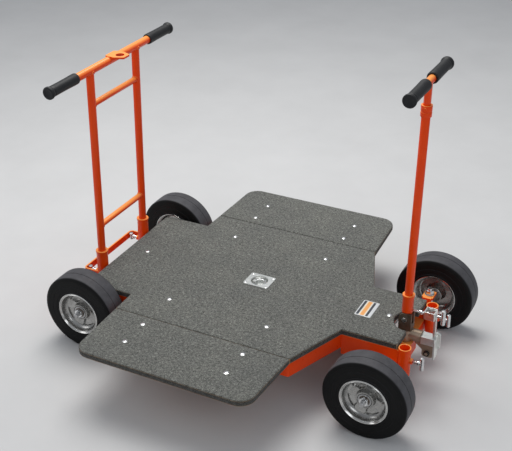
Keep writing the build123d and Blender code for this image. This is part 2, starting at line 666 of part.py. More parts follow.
with BuildPart() as handle_lock_pin:
    # plunger with a collar inside the tube and a cross handle in front
    with BuildSketch(Plane.YZ.offset(513.8)):
        with Locations((0, PIN_Z)):
            Circle(4.0)
    extrude(amount=93.0)
    with BuildSketch(Plane.YZ.offset(558.0)):
        with Locations((0, PIN_Z)):
            Circle(7.5)
    extrude(amount=5.0)
    with BuildSketch(Plane.YZ.offset(533.0)):
        with Locations((0, PIN_Z)):
            Circle(6.5)
    extrude(amount=10.0)
    with BuildSketch(Plane.XY.offset(PIN_Z - 25.0)):
        with Locations((608.0, 0)):
            Circle(6.6)
    extrude(amount=50.0)
    fillet(handle_lock_pin.edges().filter_by(GeomType.CIRCLE).group_by(Axis.Z)[-1], 2)
    fillet(handle_lock_pin.edges().filter_by(GeomType.CIRCLE).group_by(Axis.Z)[0], 2)
save("handle_lock_pin", handle_lock_pin.part)

with BuildPart() as steering_head:
    # forked block with cheeks on both sides of the handle's tongue; the rear is rounded so the handle can fold back
    with BuildSketch(Plane.XZ.offset(-18.0)):
        with BuildLine():
            Polyline((HEAD_X + 20, 172.0), (HEAD_X - 20, 172.0), (HEAD_X - 20, PIVOT_Z), close=False)
            ThreePointArc((HEAD_X - 20, PIVOT_Z), (HEAD_X - 20 * cos(radians(45)), PIVOT_Z + 20 * sin(radians(45))),
                          (HEAD_X, PIVOT_Z + 20))
            Polyline((HEAD_X, PIVOT_Z + 20), (HEAD_X + 20, PIVOT_Z + 20), (HEAD_X + 20, 172.0), close=False)
        make_face()
    extrude(amount=36.0)
    with BuildSketch(Plane.XY.offset(191.0)):
        with Locations((HEAD_X, 0)):
            Rectangle(80, 18.8)
    extrude(amount=60, mode=Mode.SUBTRACT)
    with BuildSketch(Plane.XZ.offset(-30.0)):
        with Locations((HEAD_X, PIVOT_Z)):
            Circle(5.0)
    extrude(amount=60, mode=Mode.SUBTRACT)
save("steering_head", steering_head.part)

with BuildPart() as handle_pivot_bolt:
    with BuildSketch(Plane.XZ.offset(-23.0)):
        with Locations((HEAD_X, PIVOT_Z)):
            Circle(5.0)
    extrude(amount=46.0)
    for y in (18.0, -18.0):
        with BuildSketch(Plane.XZ.offset(-y)):
            with Locations((HEAD_X, PIVOT_Z)):
                RegularPolygon(9.0, 6)
        extrude(amount=-6.0 if y > 0 else 6.0)
save("handle_pivot_bolt", handle_pivot_bolt.part)

# ---------------------------------------------------------------- folding handle
HANDLE = tilted(HANDLE_LEAN, (HEAD_X, 0, PIVOT_Z))
with BuildPart() as handle_socket:
    with BuildSketch(Plane.XZ.offset(-9.0)):
        with Locations((HEAD_X, PIVOT_Z)):
            Circle(14.0)
            Rectangle(24.0, 48.0)
    extrude(amount=18.0)
    with BuildSketch(Plane.XY.offset(PIVOT_Z - 40)):
        with Locations((HEAD_X, 0)):
            Rectangle(60, 60)
    extrude(amount=26.0, mode=Mode.SUBTRACT)
    with BuildSketch(HANDLE.offset(21.8)):
        Circle(17.0)
    extrude(amount=59.7)
    with BuildSketch(HANDLE.offset(75.5)):
        Circle(18.8)
    extrude(amount=6.0)
    with BuildSketch(HANDLE.offset(30.0)):
        Circle(12.7)
    extrude(amount=80.0, mode=Mode.SUBTRACT)
    with BuildSketch(Plane.XZ.offset(-30.0)):
        with Locations((HEAD_X, PIVOT_Z)):
            Circle(5.06)
    extrude(amount=60, mode=Mode.SUBTRACT)
save("handle_socket", handle_socket.part)

TUBE_TOP = 694.0
with BuildPart() as handle_tube:
    with BuildSketch(HANDLE.offset(30.0)):
        Circle(12.7)
        Circle(10.6, mode=Mode.SUBTRACT)
    extrude(amount=TUBE_TOP - 30.0)
save("handle_tube", handle_tube.part)

with BuildPart() as handle_clamp:
    with BuildSketch(HANDLE.offset(TUBE_TOP - 33.0)):
        Circle(16.0)
    extrude(amount=33.0)
    # groove round the collar's middle, and the boss of its pinch screw
    with BuildSketch(HANDLE.offset(TUBE_TOP - 20.0)):
        Circle(20.0)
        Circle(14.6, mode=Mode.SUBTRACT)
    extrude(amount=4.0, mode=Mode.SUBTRACT)
    with BuildSketch(Plane.XZ.offset(13.5)):
        with Locations((HEAD_X + (TUBE_TOP - 8.5) * sin(radians(HANDLE_LEAN)), PIVOT_Z + (TUBE_TOP - 8.5) * cos(radians(HANDLE_LEAN)))):
            Circle(5.0)
    extrude(amount=5.5)
    with BuildSketch(HANDLE.offset(TUBE_TOP - 40.0)):
        Circle(12.7)
    extrude(amount=60.0, mode=Mode.SUBTRACT)
save("handle_clamp", handle_clamp.part)

BAR_L = 761.0
a = radians(HANDLE_LEAN)
TX, TZ = HEAD_X + BAR_L * sin(a), PIVOT_Z + BAR_L * cos(a)
with BuildPart() as handle_tee:
    with BuildSketch(HANDLE.offset(330.0)):
        Circle(10.52)
        Circle(8.5, mode=Mode.SUBTRACT)
    extrude(amount=BAR_L - 330.0)
    with BuildSketch(Plane.XZ.offset(-155.0)):
        with Locations((TX, TZ)):
            Circle(11.0)
    extrude(amount=310.0)
save("handle_tee", handle_tee.part)

with BuildPart() as handle_grips:
    for s in (1, -1):
        with BuildSketch(Plane(origin=(TX, 0, TZ), x_dir=(0, s, 0), z_dir=(1, 0, 0))):
            with BuildLine():
                Polyline(*grip_profile(25.0, 157.0, 11.0), close=True)
            make_face()
        revolve(axis=Axis((TX, 0, TZ), (0, 1, 0)))
save("handle_grips", handle_grips.part)

# ---------------------------------------------------------------- tie rod
with BuildPart() as tie_rod:
    with BuildSketch(Plane.XY.offset(ROD_Z0)):
        with Locations((HEAD_X - ARM_R, 0)):
            Rectangle(20.0, 2 * KINGPIN_Y)
        with Locations((HEAD_X - ARM_R, KINGPIN_Y), (HEAD_X - ARM_R, -KINGPIN_Y)):
            Circle(12.0)
        with Locations((HEAD_X - ARM_R, 0)):
            Circle(6.06, mode=Mode.SUBTRACT)
        with Locations((HEAD_X - ARM_R, KINGPIN_Y), (HEAD_X - ARM_R, -KINGPIN_Y)):
            Circle(6.0, mode=Mode.SUBTRACT)
    extrude(amount=ROD_Z1 - ROD_Z0)
save("tie_rod", tie_rod.part)

# ---------------------------------------------------------------- rear axle
with BuildPart() as rear_axle:
    with BuildSketch(Plane.XZ.offset(-333.0)):
        with Locations((-AXLE_X, AXLE_Z)):
            Circle(SHAFT_D / 2)
    extrude(amount=2 * 333.0)
    with BuildSketch(Plane.XZ.offset(-(REAR_WHEEL_Y + HUB_HALF + STUD_OUT))):
        with Locations((-AXLE_X, AXLE_Z)):
            Circle(STUD_D / 2)
    extrude(amount=2 * (REAR_WHEEL_Y + HUB_HALF + STUD_OUT))
    # spacer collars between the frame and the wheels, and the end nuts
    for s in (1, -1):
        with BuildSketch(Plane.XZ.offset(-s * 243.0)):
            with Locations((-AXLE_X, AXLE_Z)):
                Circle(16.0)
        extrude(amount=-s * 19.5)
        with BuildSketch(Plane.XZ.offset(-s * (REAR_WHEEL_Y + 31.5))):
            with Locations((-AXLE_X, AXLE_Z)):
                RegularPolygon(14.5, 6)
        extrude(amount=-s * 8.5)
save("rear_axle", rear_axle.part)

# ---------------------------------------------------------------- wheels
R = TYRE_D / 2
RR = RIM_D / 2
HW = TYRE_W / 2
SPOKES = 4


def wheel_plane(x, y, s):
    # sketch plane through the wheel axis: local x = outboard, local y = up
    return Plane(origin=(x, y, AXLE_Z), x_dir=(0, s, 0), z_dir=(1, 0, 0) if s > 0 else (-1, 0, 0))


TYRE_SECTION = [
    (-HW, RR), (-HW, R - 12), (-HW + 3, R - 4), (-HW + 8, R - 0.8), (-HW + 13, R),
    (HW - 13, R), (HW - 8, R - 0.8), (HW - 3, R - 4), (HW, R - 12), (HW, RR),
    (HW - 4, RR - 3), (HW - 14, RR - 7), (-HW + 14, RR - 7), (-HW + 4, RR - 3),
]
# rim half sections, outboard to the right: barrel with its lips, web, hub
BARREL_SECTION = [
    (HW, RR), (HW + 1.5, RR - 3.4), (HW + 1.0, RR - 6), (HW - 10, RR - 11), (12, RR - 15), (-1, RR - 15),
    (-HW + 10, RR - 11), (-HW - 1.0, RR - 6), (-HW - 1.5, RR - 3.4), (-HW, RR), (-HW + 4, RR - 3),
    (-HW + 14, RR - 7), (HW - 14, RR - 7), (HW - 4, RR - 3),
]
WEB_SECTION = [(12, RR - 15), (9, 30.0), (-3, 30.0), (-1, RR - 15)]
HUB_SECTION = [(9, 30.0), (14, 27.0), (HUB_HALF, 25.0), (HUB_HALF, 14.0), (-HUB_HALF, 14.0), (-HUB_HALF, 25.0),
               (-8, 27.0), (-3, 30.0)]
WHEELS = (("front_left", AXLE_X, FRONT_WHEEL_Y, 1), ("front_right", AXLE_X, -FRONT_WHEEL_Y, -1),
          ("rear_left", -AXLE_X, REAR_WHEEL_Y, 1), ("rear_right", -AXLE_X, -REAR_WHEEL_Y, -1))
for name, x, y, s in WHEELS:
    axis = Axis((x, y, AXLE_Z), (0, 1, 0))
    with BuildPart() as tyre:
        with BuildSketch(wheel_plane(x, y, s)):
            with BuildLine():
                Polyline(*TYRE_SECTION, close=True)
            make_face()
        revolve(axis=axis)
    save(f"{name}_tyre", tyre.part)
    rings = []
    for section in (BARREL_SECTION, WEB_SECTION, HUB_SECTION):
        with BuildPart() as ring:
            with BuildSketch(wheel_plane(x, y, s)):
                with BuildLine():
                    Polyline(*section, close=True)
                make_face()
            revolve(axis=axis)
            if section is WEB_SECTION:
                # lightening holes
                with BuildSketch(Plane.XZ.offset(-(y - 15))):
                    with Locations((x, AXLE_Z)):
                        with PolarLocations(43.5, SPOKES, start_angle=45):
                            Circle(7.5)
                extrude(amount=-30, mode=Mode.SUBTRACT)
            if section is HUB_SECTION:
                # counterbores for the bearings
                with BuildSketch(Plane.XZ.offset(-(y + HUB_HALF))):
                    with Locations((x, AXLE_Z)):
                        Circle(21.0)
                extrude(amount=12.0, mode=Mode.SUBTRACT)
                with BuildSketch(Plane.XZ.offset(-(y - HUB_HALF))):
                    with Locations((x, AXLE_Z)):
                        Circle(21.0)
                extrude(amount=-12.0, mode=Mode.SUBTRACT)
        rings.append(ring.part.solid())
    save(f"{name}_rim", Compound(rings))
    with BuildPart() as bearings:
        for y0, d in ((y + HUB_HALF, 1), (y - HUB_HALF, -1)):
            with BuildSketch(Plane.XZ.offset(-y0)):
                with Locations((x, AXLE_Z)):
                    Circle(21.0)
                    Circle(SHAFT_D / 2 + 0.05, mode=Mode.SUBTRACT)
            extrude(amount=d * 12.0)
    save(f"{name}_bearings", bearings.part)
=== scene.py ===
import math
import random

import bmesh
import bpy
from mathutils import Matrix, Vector, noise
from mathutils.geometry import delaunay_2d_cdt


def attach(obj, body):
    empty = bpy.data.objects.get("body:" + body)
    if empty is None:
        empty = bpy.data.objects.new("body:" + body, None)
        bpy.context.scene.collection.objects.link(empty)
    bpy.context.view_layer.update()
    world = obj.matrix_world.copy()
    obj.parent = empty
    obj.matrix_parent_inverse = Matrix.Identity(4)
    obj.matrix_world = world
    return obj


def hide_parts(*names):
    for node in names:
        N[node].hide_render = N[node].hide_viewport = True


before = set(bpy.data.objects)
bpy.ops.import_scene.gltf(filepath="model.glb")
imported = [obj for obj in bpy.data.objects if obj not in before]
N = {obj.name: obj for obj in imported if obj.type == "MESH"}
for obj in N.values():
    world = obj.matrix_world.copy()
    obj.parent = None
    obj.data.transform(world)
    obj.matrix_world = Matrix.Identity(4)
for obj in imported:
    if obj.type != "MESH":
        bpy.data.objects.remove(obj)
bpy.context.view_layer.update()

random.seed(7)
MM = 0.001
tau = 2 * math.pi


# ------------------------------------------------------------------ camera
def make_camera():
    a, e, r = math.radians(28.0), math.radians(29.26), math.radians(-1.14)
    back = Vector((math.sin(a) * math.cos(e), -math.cos(a) * math.cos(e), math.sin(e)))
    right = Vector((math.cos(a), math.sin(a), 0.0))
    up = back.cross(right)
    rr = right * math.cos(r) + up * math.sin(r)
    uu = up * math.cos(r) - right * math.sin(r)
    cam = bpy.data.objects.new("camera", bpy.data.cameras.new("camera"))
    bpy.context.scene.collection.objects.link(cam)
    m = Matrix((rr, uu, back)).transposed().to_4x4()
    m.translation = Vector((1.28588, -2.45056, 1.959))
    cam.matrix_world = m
    cam.data.sensor_width = 36.0
    cam.data.lens = 70.98
    cam.data.clip_end = 60
    bpy.context.scene.camera = cam


make_camera()


# ------------------------------------------------------------------ materials
def new_mat(name):
    m = bpy.data.materials.new(name)
    m.use_nodes = True
    nt = m.node_tree
    nt.nodes.clear()
    out = nt.nodes.new("ShaderNodeOutputMaterial")
    b = nt.nodes.new("ShaderNodeBsdfPrincipled")
    nt.links.new(b.outputs[0], out.inputs[0])
    return m, nt, b


def coords(nt, scale=(1, 1, 1)):
    t = nt.nodes.new("ShaderNodeTexCoord")
    mp = nt.nodes.new("ShaderNodeMapping")
    mp.inputs["Scale"].default_value = scale
    nt.links.new(t.outputs["Object"], mp.inputs["Vector"])
    return mp.outputs[0]


def noise_tex(nt, vec, scale, detail=4.0, rough=0.6, dist=0.0):
    n = nt.nodes.new("ShaderNodeTexNoise")
    n.inputs["Scale"].default_value = scale
    n.inputs["Detail"].default_value = detail
    n.inputs["Roughness"].default_value = rough
    n.inputs["Distortion"].default_value = dist
    nt.links.new(vec, n.inputs["Vector"])
    return n.outputs["Fac"]


def voronoi(nt, vec, scale, feature="F1", out="Distance"):
    n = nt.nodes.new("ShaderNodeTexVoronoi")
    n.feature = feature
    n.inputs["Scale"].default_value = scale
    nt.links.new(vec, n.inputs["Vector"])
    return n.outputs[out]


def ramp(nt, fac, stops):
    n = nt.nodes.new("ShaderNodeValToRGB")
    el = n.color_ramp.elements
    while len(el) < len(stops):
        el.new(0.5)
    for e, (p, c) in zip(el, stops):
        e.position = p
        e.color = (*c, 1.0) if not isinstance(c, (int, float)) else (c, c, c, 1.0)
    nt.links.new(fac, n.inputs[0])
    return n.outputs[0]


def mix(nt, fac, a, b, mode="MIX"):
    n = nt.nodes.new("ShaderNodeMix")
    n.data_type = "RGBA"
    n.blend_type = mode
    if isinstance(fac, (int, float)):
        n.inputs[0].default_value = fac
    else:
        nt.links.new(fac, n.inputs[0])
    for i, v in ((6, a), (7, b)):
        if isinstance(v, tuple):
            n.inputs[i].default_value = (*v, 1.0)
        else:
            nt.links.new(v, n.inputs[i])
    return n.outputs[2]


def math_node(nt, op, a, b=None, c=None):
    n = nt.nodes.new("ShaderNodeMath")
    n.operation = op
    for i, v in enumerate((a, b, c)):
        if v is None:
            continue
        if isinstance(v, (int, float)):
            n.inputs[i].default_value = v
        else:
            nt.links.new(v, n.inputs[i])
    return n.outputs[0]


def bump(nt, b, height, strength, distance, normal=None):
    n = nt.nodes.new("ShaderNodeBump")
    n.inputs["Strength"].default_value = strength
    n.inputs["Distance"].default_value = distance
    nt.links.new(height, n.inputs["Height"])
    if normal is not None:
        nt.links.new(normal, n.inputs["Normal"])
    nt.links.new(n.outputs[0], b.inputs["Normal"])
    return n.outputs[0]


def paint(name, base, dark):
    # sprayed gloss enamel over welded steel: orange peel, faint dirt, small chips, plus a painted highlight on upward
    # faces
    m, nt, b = new_mat(name)
    v = coords(nt)
    tone = ramp(nt, noise_tex(nt, v, 9.0, 5.0, 0.65), [(0.3, dark), (0.7, base)])
    grime = ramp(nt, noise_tex(nt, v, 42.0, 6.0, 0.75, 0.4), [(0.62, 0.0), (0.84, 0.26)])
    col = mix(nt, grime, tone, (0.34, 0.045, 0.008))
    chips = ramp(nt, noise_tex(nt, v, 165.0, 3.0, 0.55, 0.2), [(0.765, 0.0), (0.785, 1.0)])
    # painted highlight: faces that point up are mixed toward a pale orange, as if lit from above, broken up a little
    # by noise
    geo = nt.nodes.new("ShaderNodeNewGeometry")
    sep = nt.nodes.new("ShaderNodeSeparateXYZ")
    nt.links.new(geo.outputs["Normal"], sep.inputs[0])
    painted_top_highlight = ramp(nt, math_node(nt, "ADD", sep.outputs[2], math_node(nt, "MULTIPLY", noise_tex(nt, v, 24.0, 4.0, 0.6), 0.16)),
                [(0.30, 0.0), (0.98, 0.68)])
    col = mix(nt, painted_top_highlight, col, (1.0, 0.48, 0.12))
    col = mix(nt, chips, col, (0.12, 0.10, 0.09))
    nt.links.new(col, b.inputs["Base Color"])
    rough = ramp(nt, noise_tex(nt, v, 60.0, 4.0, 0.6), [(0.3, 0.26), (0.75, 0.40)])
    nt.links.new(rough, b.inputs["Roughness"])
    b.inputs["Coat Weight"].default_value = 0.12
    b.inputs["Coat Roughness"].default_value = 0.07
    b.inputs["Specular IOR Level"].default_value = 0.22
    peel = noise_tex(nt, v, 520.0, 2.0, 0.5)
    h = math_node(nt, "SUBTRACT", peel, math_node(nt, "MULTIPLY", chips, 1.5))
    bump(nt, b, h, 0.10, 0.0006)
    return m


ORANGE = paint("orange_enamel", (0.92, 0.073, 0.0014), (0.84, 0.053, 0.0008))


def carpet_mat(name):
    # needle-punched heather carpet: mixed light and dark fibres, soft clumps, dusty wear
    m, nt, b = new_mat(name)
    v = coords(nt)
    fib = noise_tex(nt, v, 620.0, 3.0, 0.7, 1.2)
    clump = noise_tex(nt, v, 155.0, 4.0, 0.75, 0.8)
    wide = noise_tex(nt, v, 7.0, 4.0, 0.6)
    cell = voronoi(nt, v, 420.0)
    base = ramp(nt, clump, [(0.33, (0.043, 0.044, 0.040)), (0.50, (0.145, 0.148, 0.136)), (0.67, (0.300, 0.306, 0.285))])
    fine = ramp(nt, fib, [(0.36, (0.28, 0.28, 0.28)), (0.52, (0.95, 0.95, 0.94)), (0.66, (1.95, 1.95, 1.9))])
    col = mix(nt, 1.0, base, fine, "MULTIPLY")
    dusty = ramp(nt, wide, [(0.32, (0.90, 0.90, 0.90)), (0.70, (1.12, 1.11, 1.08))])
    col = mix(nt, 1.0, col, dusty, "MULTIPLY")
    lint = ramp(nt, noise_tex(nt, v, 240.0, 2.0, 0.5, 2.0), [(0.70, 0.0), (0.78, 0.55)])
    col = mix(nt, lint, col, (0.30, 0.295, 0.28))
    # painted shade: the rolled edges and other steep faces are darkened by their normal, as if in shade from the light
    # above
    g = nt.nodes.new("ShaderNodeNewGeometry")
    sep = nt.nodes.new("ShaderNodeSeparateXYZ")
    nt.links.new(g.outputs["Normal"], sep.inputs[0])
    painted_edge_shade = ramp(nt, math_node(nt, "ABSOLUTE", sep.outputs[2]), [(0.25, (0.34, 0.32, 0.31)), (0.85, (1.0, 1.0, 1.0))])
    col = mix(nt, 1.0, col, painted_edge_shade, "MULTIPLY")
    nt.links.new(col, b.inputs["Base Color"])
    b.inputs["Roughness"].default_value = 0.95
    b.inputs["Specular IOR Level"].default_value = 0.12
    b.inputs["Sheen Weight"].default_value = 0.18
    b.inputs["Sheen Roughness"].default_value = 0.6
    h = math_node(nt, "ADD", math_node(nt, "MULTIPLY", fib, 0.8), math_node(nt, "ADD", clump, math_node(nt, "MULTIPLY", cell, 0.7)))
    bump(nt, b, h, 0.9, 0.0022)
    return m


CARPET = carpet_mat("heather_carpet")


def ply_mat():
    m, nt, b = new_mat("birch_plywood")
    v = coords(nt, (1.0, 9.0, 1.0))
    grain = noise_tex(nt, v, 22.0, 7.0, 0.7, 1.6)
    col = ramp(nt, grain, [(0.25, (0.22, 0.13, 0.065)), (0.5, (0.38, 0.25, 0.14)), (0.75, (0.50, 0.35, 0.21))])
    v2 = coords(nt, (1.0, 1.0, 1.0))
    w = nt.nodes.new("ShaderNodeTexWave")
    w.wave_type = "BANDS"
    w.bands_direction = "Z"
    w.inputs["Scale"].default_value = 190.0
    w.inputs["Distortion"].default_value = 0.6
    nt.links.new(v2, w.inputs["Vector"])
    g = nt.nodes.new("ShaderNodeNewGeometry")
    sep = nt.nodes.new("ShaderNodeSeparateXYZ")
    nt.links.new(g.outputs["Normal"], sep.inputs[0])
    side = ramp(nt, math_node(nt, "ABSOLUTE", sep.outputs[2]), [(0.3, 1.0), (0.7, 0.0)])
    ply = ramp(nt, w.outputs["Fac"], [(0.35, (0.55, 0.50, 0.45)), (0.65, (1.0, 1.0, 1.0))])
    col = mix(nt, side, col, mix(nt, 1.0, col, ply, "MULTIPLY"))
    nt.links.new(col, b.inputs["Base Color"])
    nt.links.new(ramp(nt, grain, [(0.3, 0.75), (0.7, 0.58)]), b.inputs["Roughness"])
    bump(nt, b, grain, 0.25, 0.0008)
    return m


PLY = ply_mat()


def tyre_mat():
    # cured rubber: scuffed grey crown, blacker sidewall, fine radial moulding marks
    m, nt, b = new_mat("tyre_rubber")
    v = coords(nt)
    g = nt.nodes.new("ShaderNodeNewGeometry")
    sep = nt.nodes.new("ShaderNodeSeparateXYZ")
    nt.links.new(g.outputs["Normal"], sep.inputs[0])
    crown = ramp(nt, math_node(nt, "ABSOLUTE", sep.outputs[1]), [(0.22, 1.0), (0.72, 0.0)])
    n1 = noise_tex(nt, v, 30.0, 6.0, 0.7)
    n2 = noise_tex(nt, v, 420.0, 3.0, 0.6)
    tread = ramp(nt, n1, [(0.30, (0.054, 0.053, 0.058)), (0.70, (0.092, 0.091, 0.099))])
    wall = ramp(nt, n1, [(0.30, (0.0012, 0.0012, 0.0013)), (0.75, (0.0034, 0.0034, 0.0036))])
    col = mix(nt, crown, wall, tread)
    dust = ramp(nt, noise_tex(nt, v, 85.0, 5.0, 0.7, 0.6), [(0.58, 0.0), (0.80, 0.30)])
    col = mix(nt, math_node(nt, "MULTIPLY", dust, crown), col, (0.17, 0.165, 0.155))
    nt.links.new(col, b.inputs["Base Color"])
    rough = ramp(nt, n1, [(0.3, 0.50), (0.7, 0.66)])
    nt.links.new(rough, b.inputs["Roughness"])
    b.inputs["Specular IOR Level"].default_value = 0.20
    bump(nt, b, math_node(nt, "ADD", n2, math_node(nt, "MULTIPLY", n1, 0.6)), 0.22, 0.0006)
    return m


TYRE = tyre_mat()


def metal(name, c0, c1, r0, r1, scale=(1, 1, 1), freq=90.0, bumpy=0.08, metallic=1.0, spots=None):
    m, nt, b = new_mat(name)
    v = coords(nt, scale)
    n1 = noise_tex(nt, v, freq, 6.0, 0.7, 0.3)
    n2 = noise_tex(nt, coords(nt), 14.0, 4.0, 0.6)
    col = ramp(nt, n1, [(0.28, c0), (0.72, c1)])
    col = mix(nt, 1.0, col, ramp(nt, n2, [(0.3, (0.86, 0.86, 0.86)), (0.7, (1.06, 1.06, 1.06))]), "MULTIPLY")
    if spots:
        f = ramp(nt, noise_tex(nt, coords(nt), 130.0, 4.0, 0.6, 0.5), [(0.66, 0.0), (0.74, 0.7)])
        col = mix(nt, f, col, spots)
    nt.links.new(col, b.inputs["Base Color"])
    nt.links.new(ramp(nt, n1, [(0.25, r0), (0.75, r1)]), b.inputs["Roughness"])
    b.inputs["Metallic"].default_value = metallic
    bump(nt, b, n1, bumpy, 0.0005)
    return m


RIM = metal("cast_aluminium", (0.31, 0.305, 0.295), (0.50, 0.495, 0.48), 0.20, 0.34, freq=40.0, bumpy=0.06)
LIP = metal("turned_aluminium", (0.58, 0.575, 0.56), (0.70, 0.695, 0.68), 0.12, 0.22, freq=120.0, bumpy=0.03)
ZINC = metal("bright_zinc", (0.66, 0.67, 0.68), (0.88, 0.885, 0.88), 0.16, 0.32, freq=160.0, bumpy=0.05)
PLATE = metal("brushed_stainless", (0.72, 0.735, 0.71), (0.90, 0.91, 0.88), 0.24, 0.40, (1, 14, 1), 60.0, 0.06)
STEEL = metal("machined_steel", (0.33, 0.33, 0.335), (0.56, 0.56, 0.56), 0.24, 0.42, freq=80.0, bumpy=0.06)
BROWN = metal("oiled_steel", (0.115, 0.082, 0.055), (0.21, 0.165, 0.125), 0.34, 0.55, freq=48.0, bumpy=0.12, metallic=0.75,
              spots=(0.05, 0.035, 0.025))
TAN = metal("worn_bronze_steel", (0.30, 0.22, 0.155), (0.48, 0.38, 0.29), 0.34, 0.52, freq=44.0, bumpy=0.12, metallic=0.8,
            spots=(0.12, 0.075, 0.05))
BLACKSTEEL = metal("black_oxide", (0.010, 0.010, 0.011), (0.028, 0.028, 0.030), 0.34, 0.5, freq=70.0, bumpy=0.06, metallic=0.7)
BRONZE = metal("bronze", (0.42, 0.27, 0.12), (0.60, 0.42, 0.21), 0.25, 0.4, freq=70.0, bumpy=0.05)


def grip_mat():
    m, nt, b = new_mat("grip_rubber")
    v = coords(nt)
    n1 = noise_tex(nt, v, 36.0, 5.0, 0.7)
    n2 = noise_tex(nt, v, 900.0, 2.0, 0.6)
    col = ramp(nt, n1, [(0.30, (0.0055, 0.0060, 0.0070)), (0.72, (0.015, 0.016, 0.018))])
    dust = ramp(nt, noise_tex(nt, v, 120.0, 5.0, 0.7, 0.5), [(0.60, 0.0), (0.82, 0.22)])
    col = mix(nt, dust, col, (0.10, 0.10, 0.10))
    nt.links.new(col, b.inputs["Base Color"])
    nt.links.new(ramp(nt, n1, [(0.3, 0.44), (0.7, 0.58)]), b.inputs["Roughness"])
    b.inputs["Specular IOR Level"].default_value = 0.36
    bump(nt, b, n2, 0.16, 0.0005)
    return m


GRIP = grip_mat()


# ------------------------------------------------------------------ mesh helpers
def finish_mesh(name, bm, mat, body, angle=32.0):
    bmesh.ops.recalc_face_normals(bm, faces=bm.faces)
    for f in bm.faces:
        f.smooth = True
    lim = math.radians(angle)
    for e in bm.edges:
        if len(e.link_faces) == 2 and e.calc_face_angle(0.0) > lim:
            e.smooth = False
    me = bpy.data.meshes.new(name)
    bm.to_mesh(me)
    bm.free()
    o = bpy.data.objects.new(name, me)
    bpy.context.scene.collection.objects.link(o)
    for mm in mat if isinstance(mat, (list, tuple)) else [mat]:
        me.materials.append(mm)
    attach(o, body)
    return o


def basis(axis):
    a = Vector(axis).normalized()
    ref = Vector((0, 0, 1)) if abs(a.z) < 0.9 else Vector((1, 0, 0))
    u = (ref - a * ref.dot(a)).normalized()
    return a, u, a.cross(u)


def lathe(bm, prof, origin, axis, seg=96, wobble=None, mats=None, phase=0.0):
    # prof: list of (along, radius); radius 0 closes an end with one vertex
    a, u, w = basis(axis)
    o = Vector(origin)
    rings = []
    for i, (t, r) in enumerate(prof):
        if r <= 1e-7:
            rings.append([bm.verts.new(o + a * t)])
            continue
        ring = []
        for k in range(seg):
            th = tau * k / seg + phase
            dt, dr = wobble(i, th) if wobble else (0.0, 0.0)
            ring.append(bm.verts.new(o + a * (t + dt) + (u * math.cos(th) + w * math.sin(th)) * (r + dr)))
        rings.append(ring)
    for i in range(len(rings) - 1):
        p, q = rings[i], rings[i + 1]
        for k in range(seg):
            k2 = (k + 1) % seg
            if len(p) == 1 and len(q) == 1:
                break
            if len(p) == 1:
                f = bm.faces.new((p[0], q[k], q[k2]))
            elif len(q) == 1:
                f = bm.faces.new((p[k], q[0], p[k2]))
            else:
                f = bm.faces.new((p[k], q[k], q[k2], p[k2]))
            if mats:
                f.material_index = mats[i]
    return rings


def tube_path(bm, pts, radius, seg=10, closed=True, seed=0.0, rough=0.0):
    # a round bead along points, with slightly uneven thickness
    n = len(pts)
    rings = []
    prev = None
    for i, p in enumerate(pts):
        t = (pts[(i + 1) % n] - pts[i - 1]) if closed else (pts[min(i + 1, n - 1)] - pts[max(i - 1, 0)])
        t.normalize()
        if prev is None:
            ref = Vector((0.31, 0.17, 0.93))
            u = (ref - t * ref.dot(t)).normalized()
        else:
            u = (prev - t * prev.dot(t)).normalized()
        prev = u
        w = t.cross(u)
        rings.append([])
        for k in range(seg):
            th = tau * k / seg
            r = radius * (1 + rough * noise.noise(p * 260 + Vector((seed, k * 0.4, 0))))
            rings[-1].append(bm.verts.new(p + (u * math.cos(th) + w * math.sin(th)) * r))
    m = n if closed else n - 1
    for i in range(m):
        p, q = rings[i], rings[(i + 1) % n]
        # line the rings up where the frame has turned round the loop
        off = 0
        if closed and i == n - 1:
            off = min(range(seg), key=lambda s: (q[s].co - p[0].co).length)
        for k in range(seg):
            bm.faces.new((p[k], q[(k + off) % seg], q[(k + 1 + off) % seg], p[(k + 1) % seg]))
    if not closed:
        bm.faces.new(list(reversed(rings[0])))
        bm.faces.new(rings[-1])


def catmull(pts, per=6):
    out = []
    for i in range(len(pts) - 1):
        p0, p1, p2, p3 = pts[max(i - 1, 0)], pts[i], pts[i + 1], pts[min(i + 2, len(pts) - 1)]
        for k in range(per):
            t = k / per
            out.append(tuple(0.5 * ((2 * b) + (-a + c) * t + (2 * a - 5 * b + 4 * c - d) * t * t + (-a + 3 * b - 3 * c + d) * t ** 3)
                             for a, b, c, d in zip(p0, p1, p2, p3)))
    out.append(pts[-1])
    return out


# ------------------------------------------------------------------ CAD nodes that stay: material, small edge rounding
def dress(node, mat, bevel=0.0007, angle=40.0):
    o = N[node]
    o.data.materials.clear()
    o.data.materials.append(mat)
    for p in o.data.polygons:
        p.material_index = 0
    if bevel:
        w = o.modifiers.new("weld", "WELD")
        w.merge_threshold = 0.00002
        bv = o.modifiers.new("edge", "BEVEL")
        bv.width = bevel
        bv.segments = 2
        bv.limit_method = "ANGLE"
        bv.angle_limit = math.radians(angle)
        bv.harden_normals = False


for n in ("frame_plates", "cross_tubes", "spine_plates", "front_axle_beams", "steering_housing", "kingpin_brackets", "rear_guard"):
    dress(n, ORANGE)
for n in ("rear_sockets", "front_sockets", "push_bar_posts", "push_bar_rungs", "push_bar_crossbar", "handle_socket",
          "handle_tube", "handle_clamp", "handle_tee"):
    dress(n, ORANGE, 0.0005)
for n in ("kingpins", "front_left_clamp_screw", "front_right_clamp_screw", "rear_left_clamp_screw", "rear_right_clamp_screw",
          "handle_pivot_bolt", "tie_down_ring", "handle_lock_pin"):
    dress(n, ZINC, 0.0004)
for n in ("tie_down_plate", "steering_clevis", "handle_lock_bracket"):
    dress(n, PLATE, 0.0004)
for n in ("tie_rod", "rear_axle", "front_left_knuckle", "front_right_knuckle", "left_board_bars",
          "right_board_bars", "steering_spindle"):
    dress(n, STEEL, 0.0006)
dress("steering_head", BROWN, 0.0008)
dress("steering_arm", TAN, 0.0008)
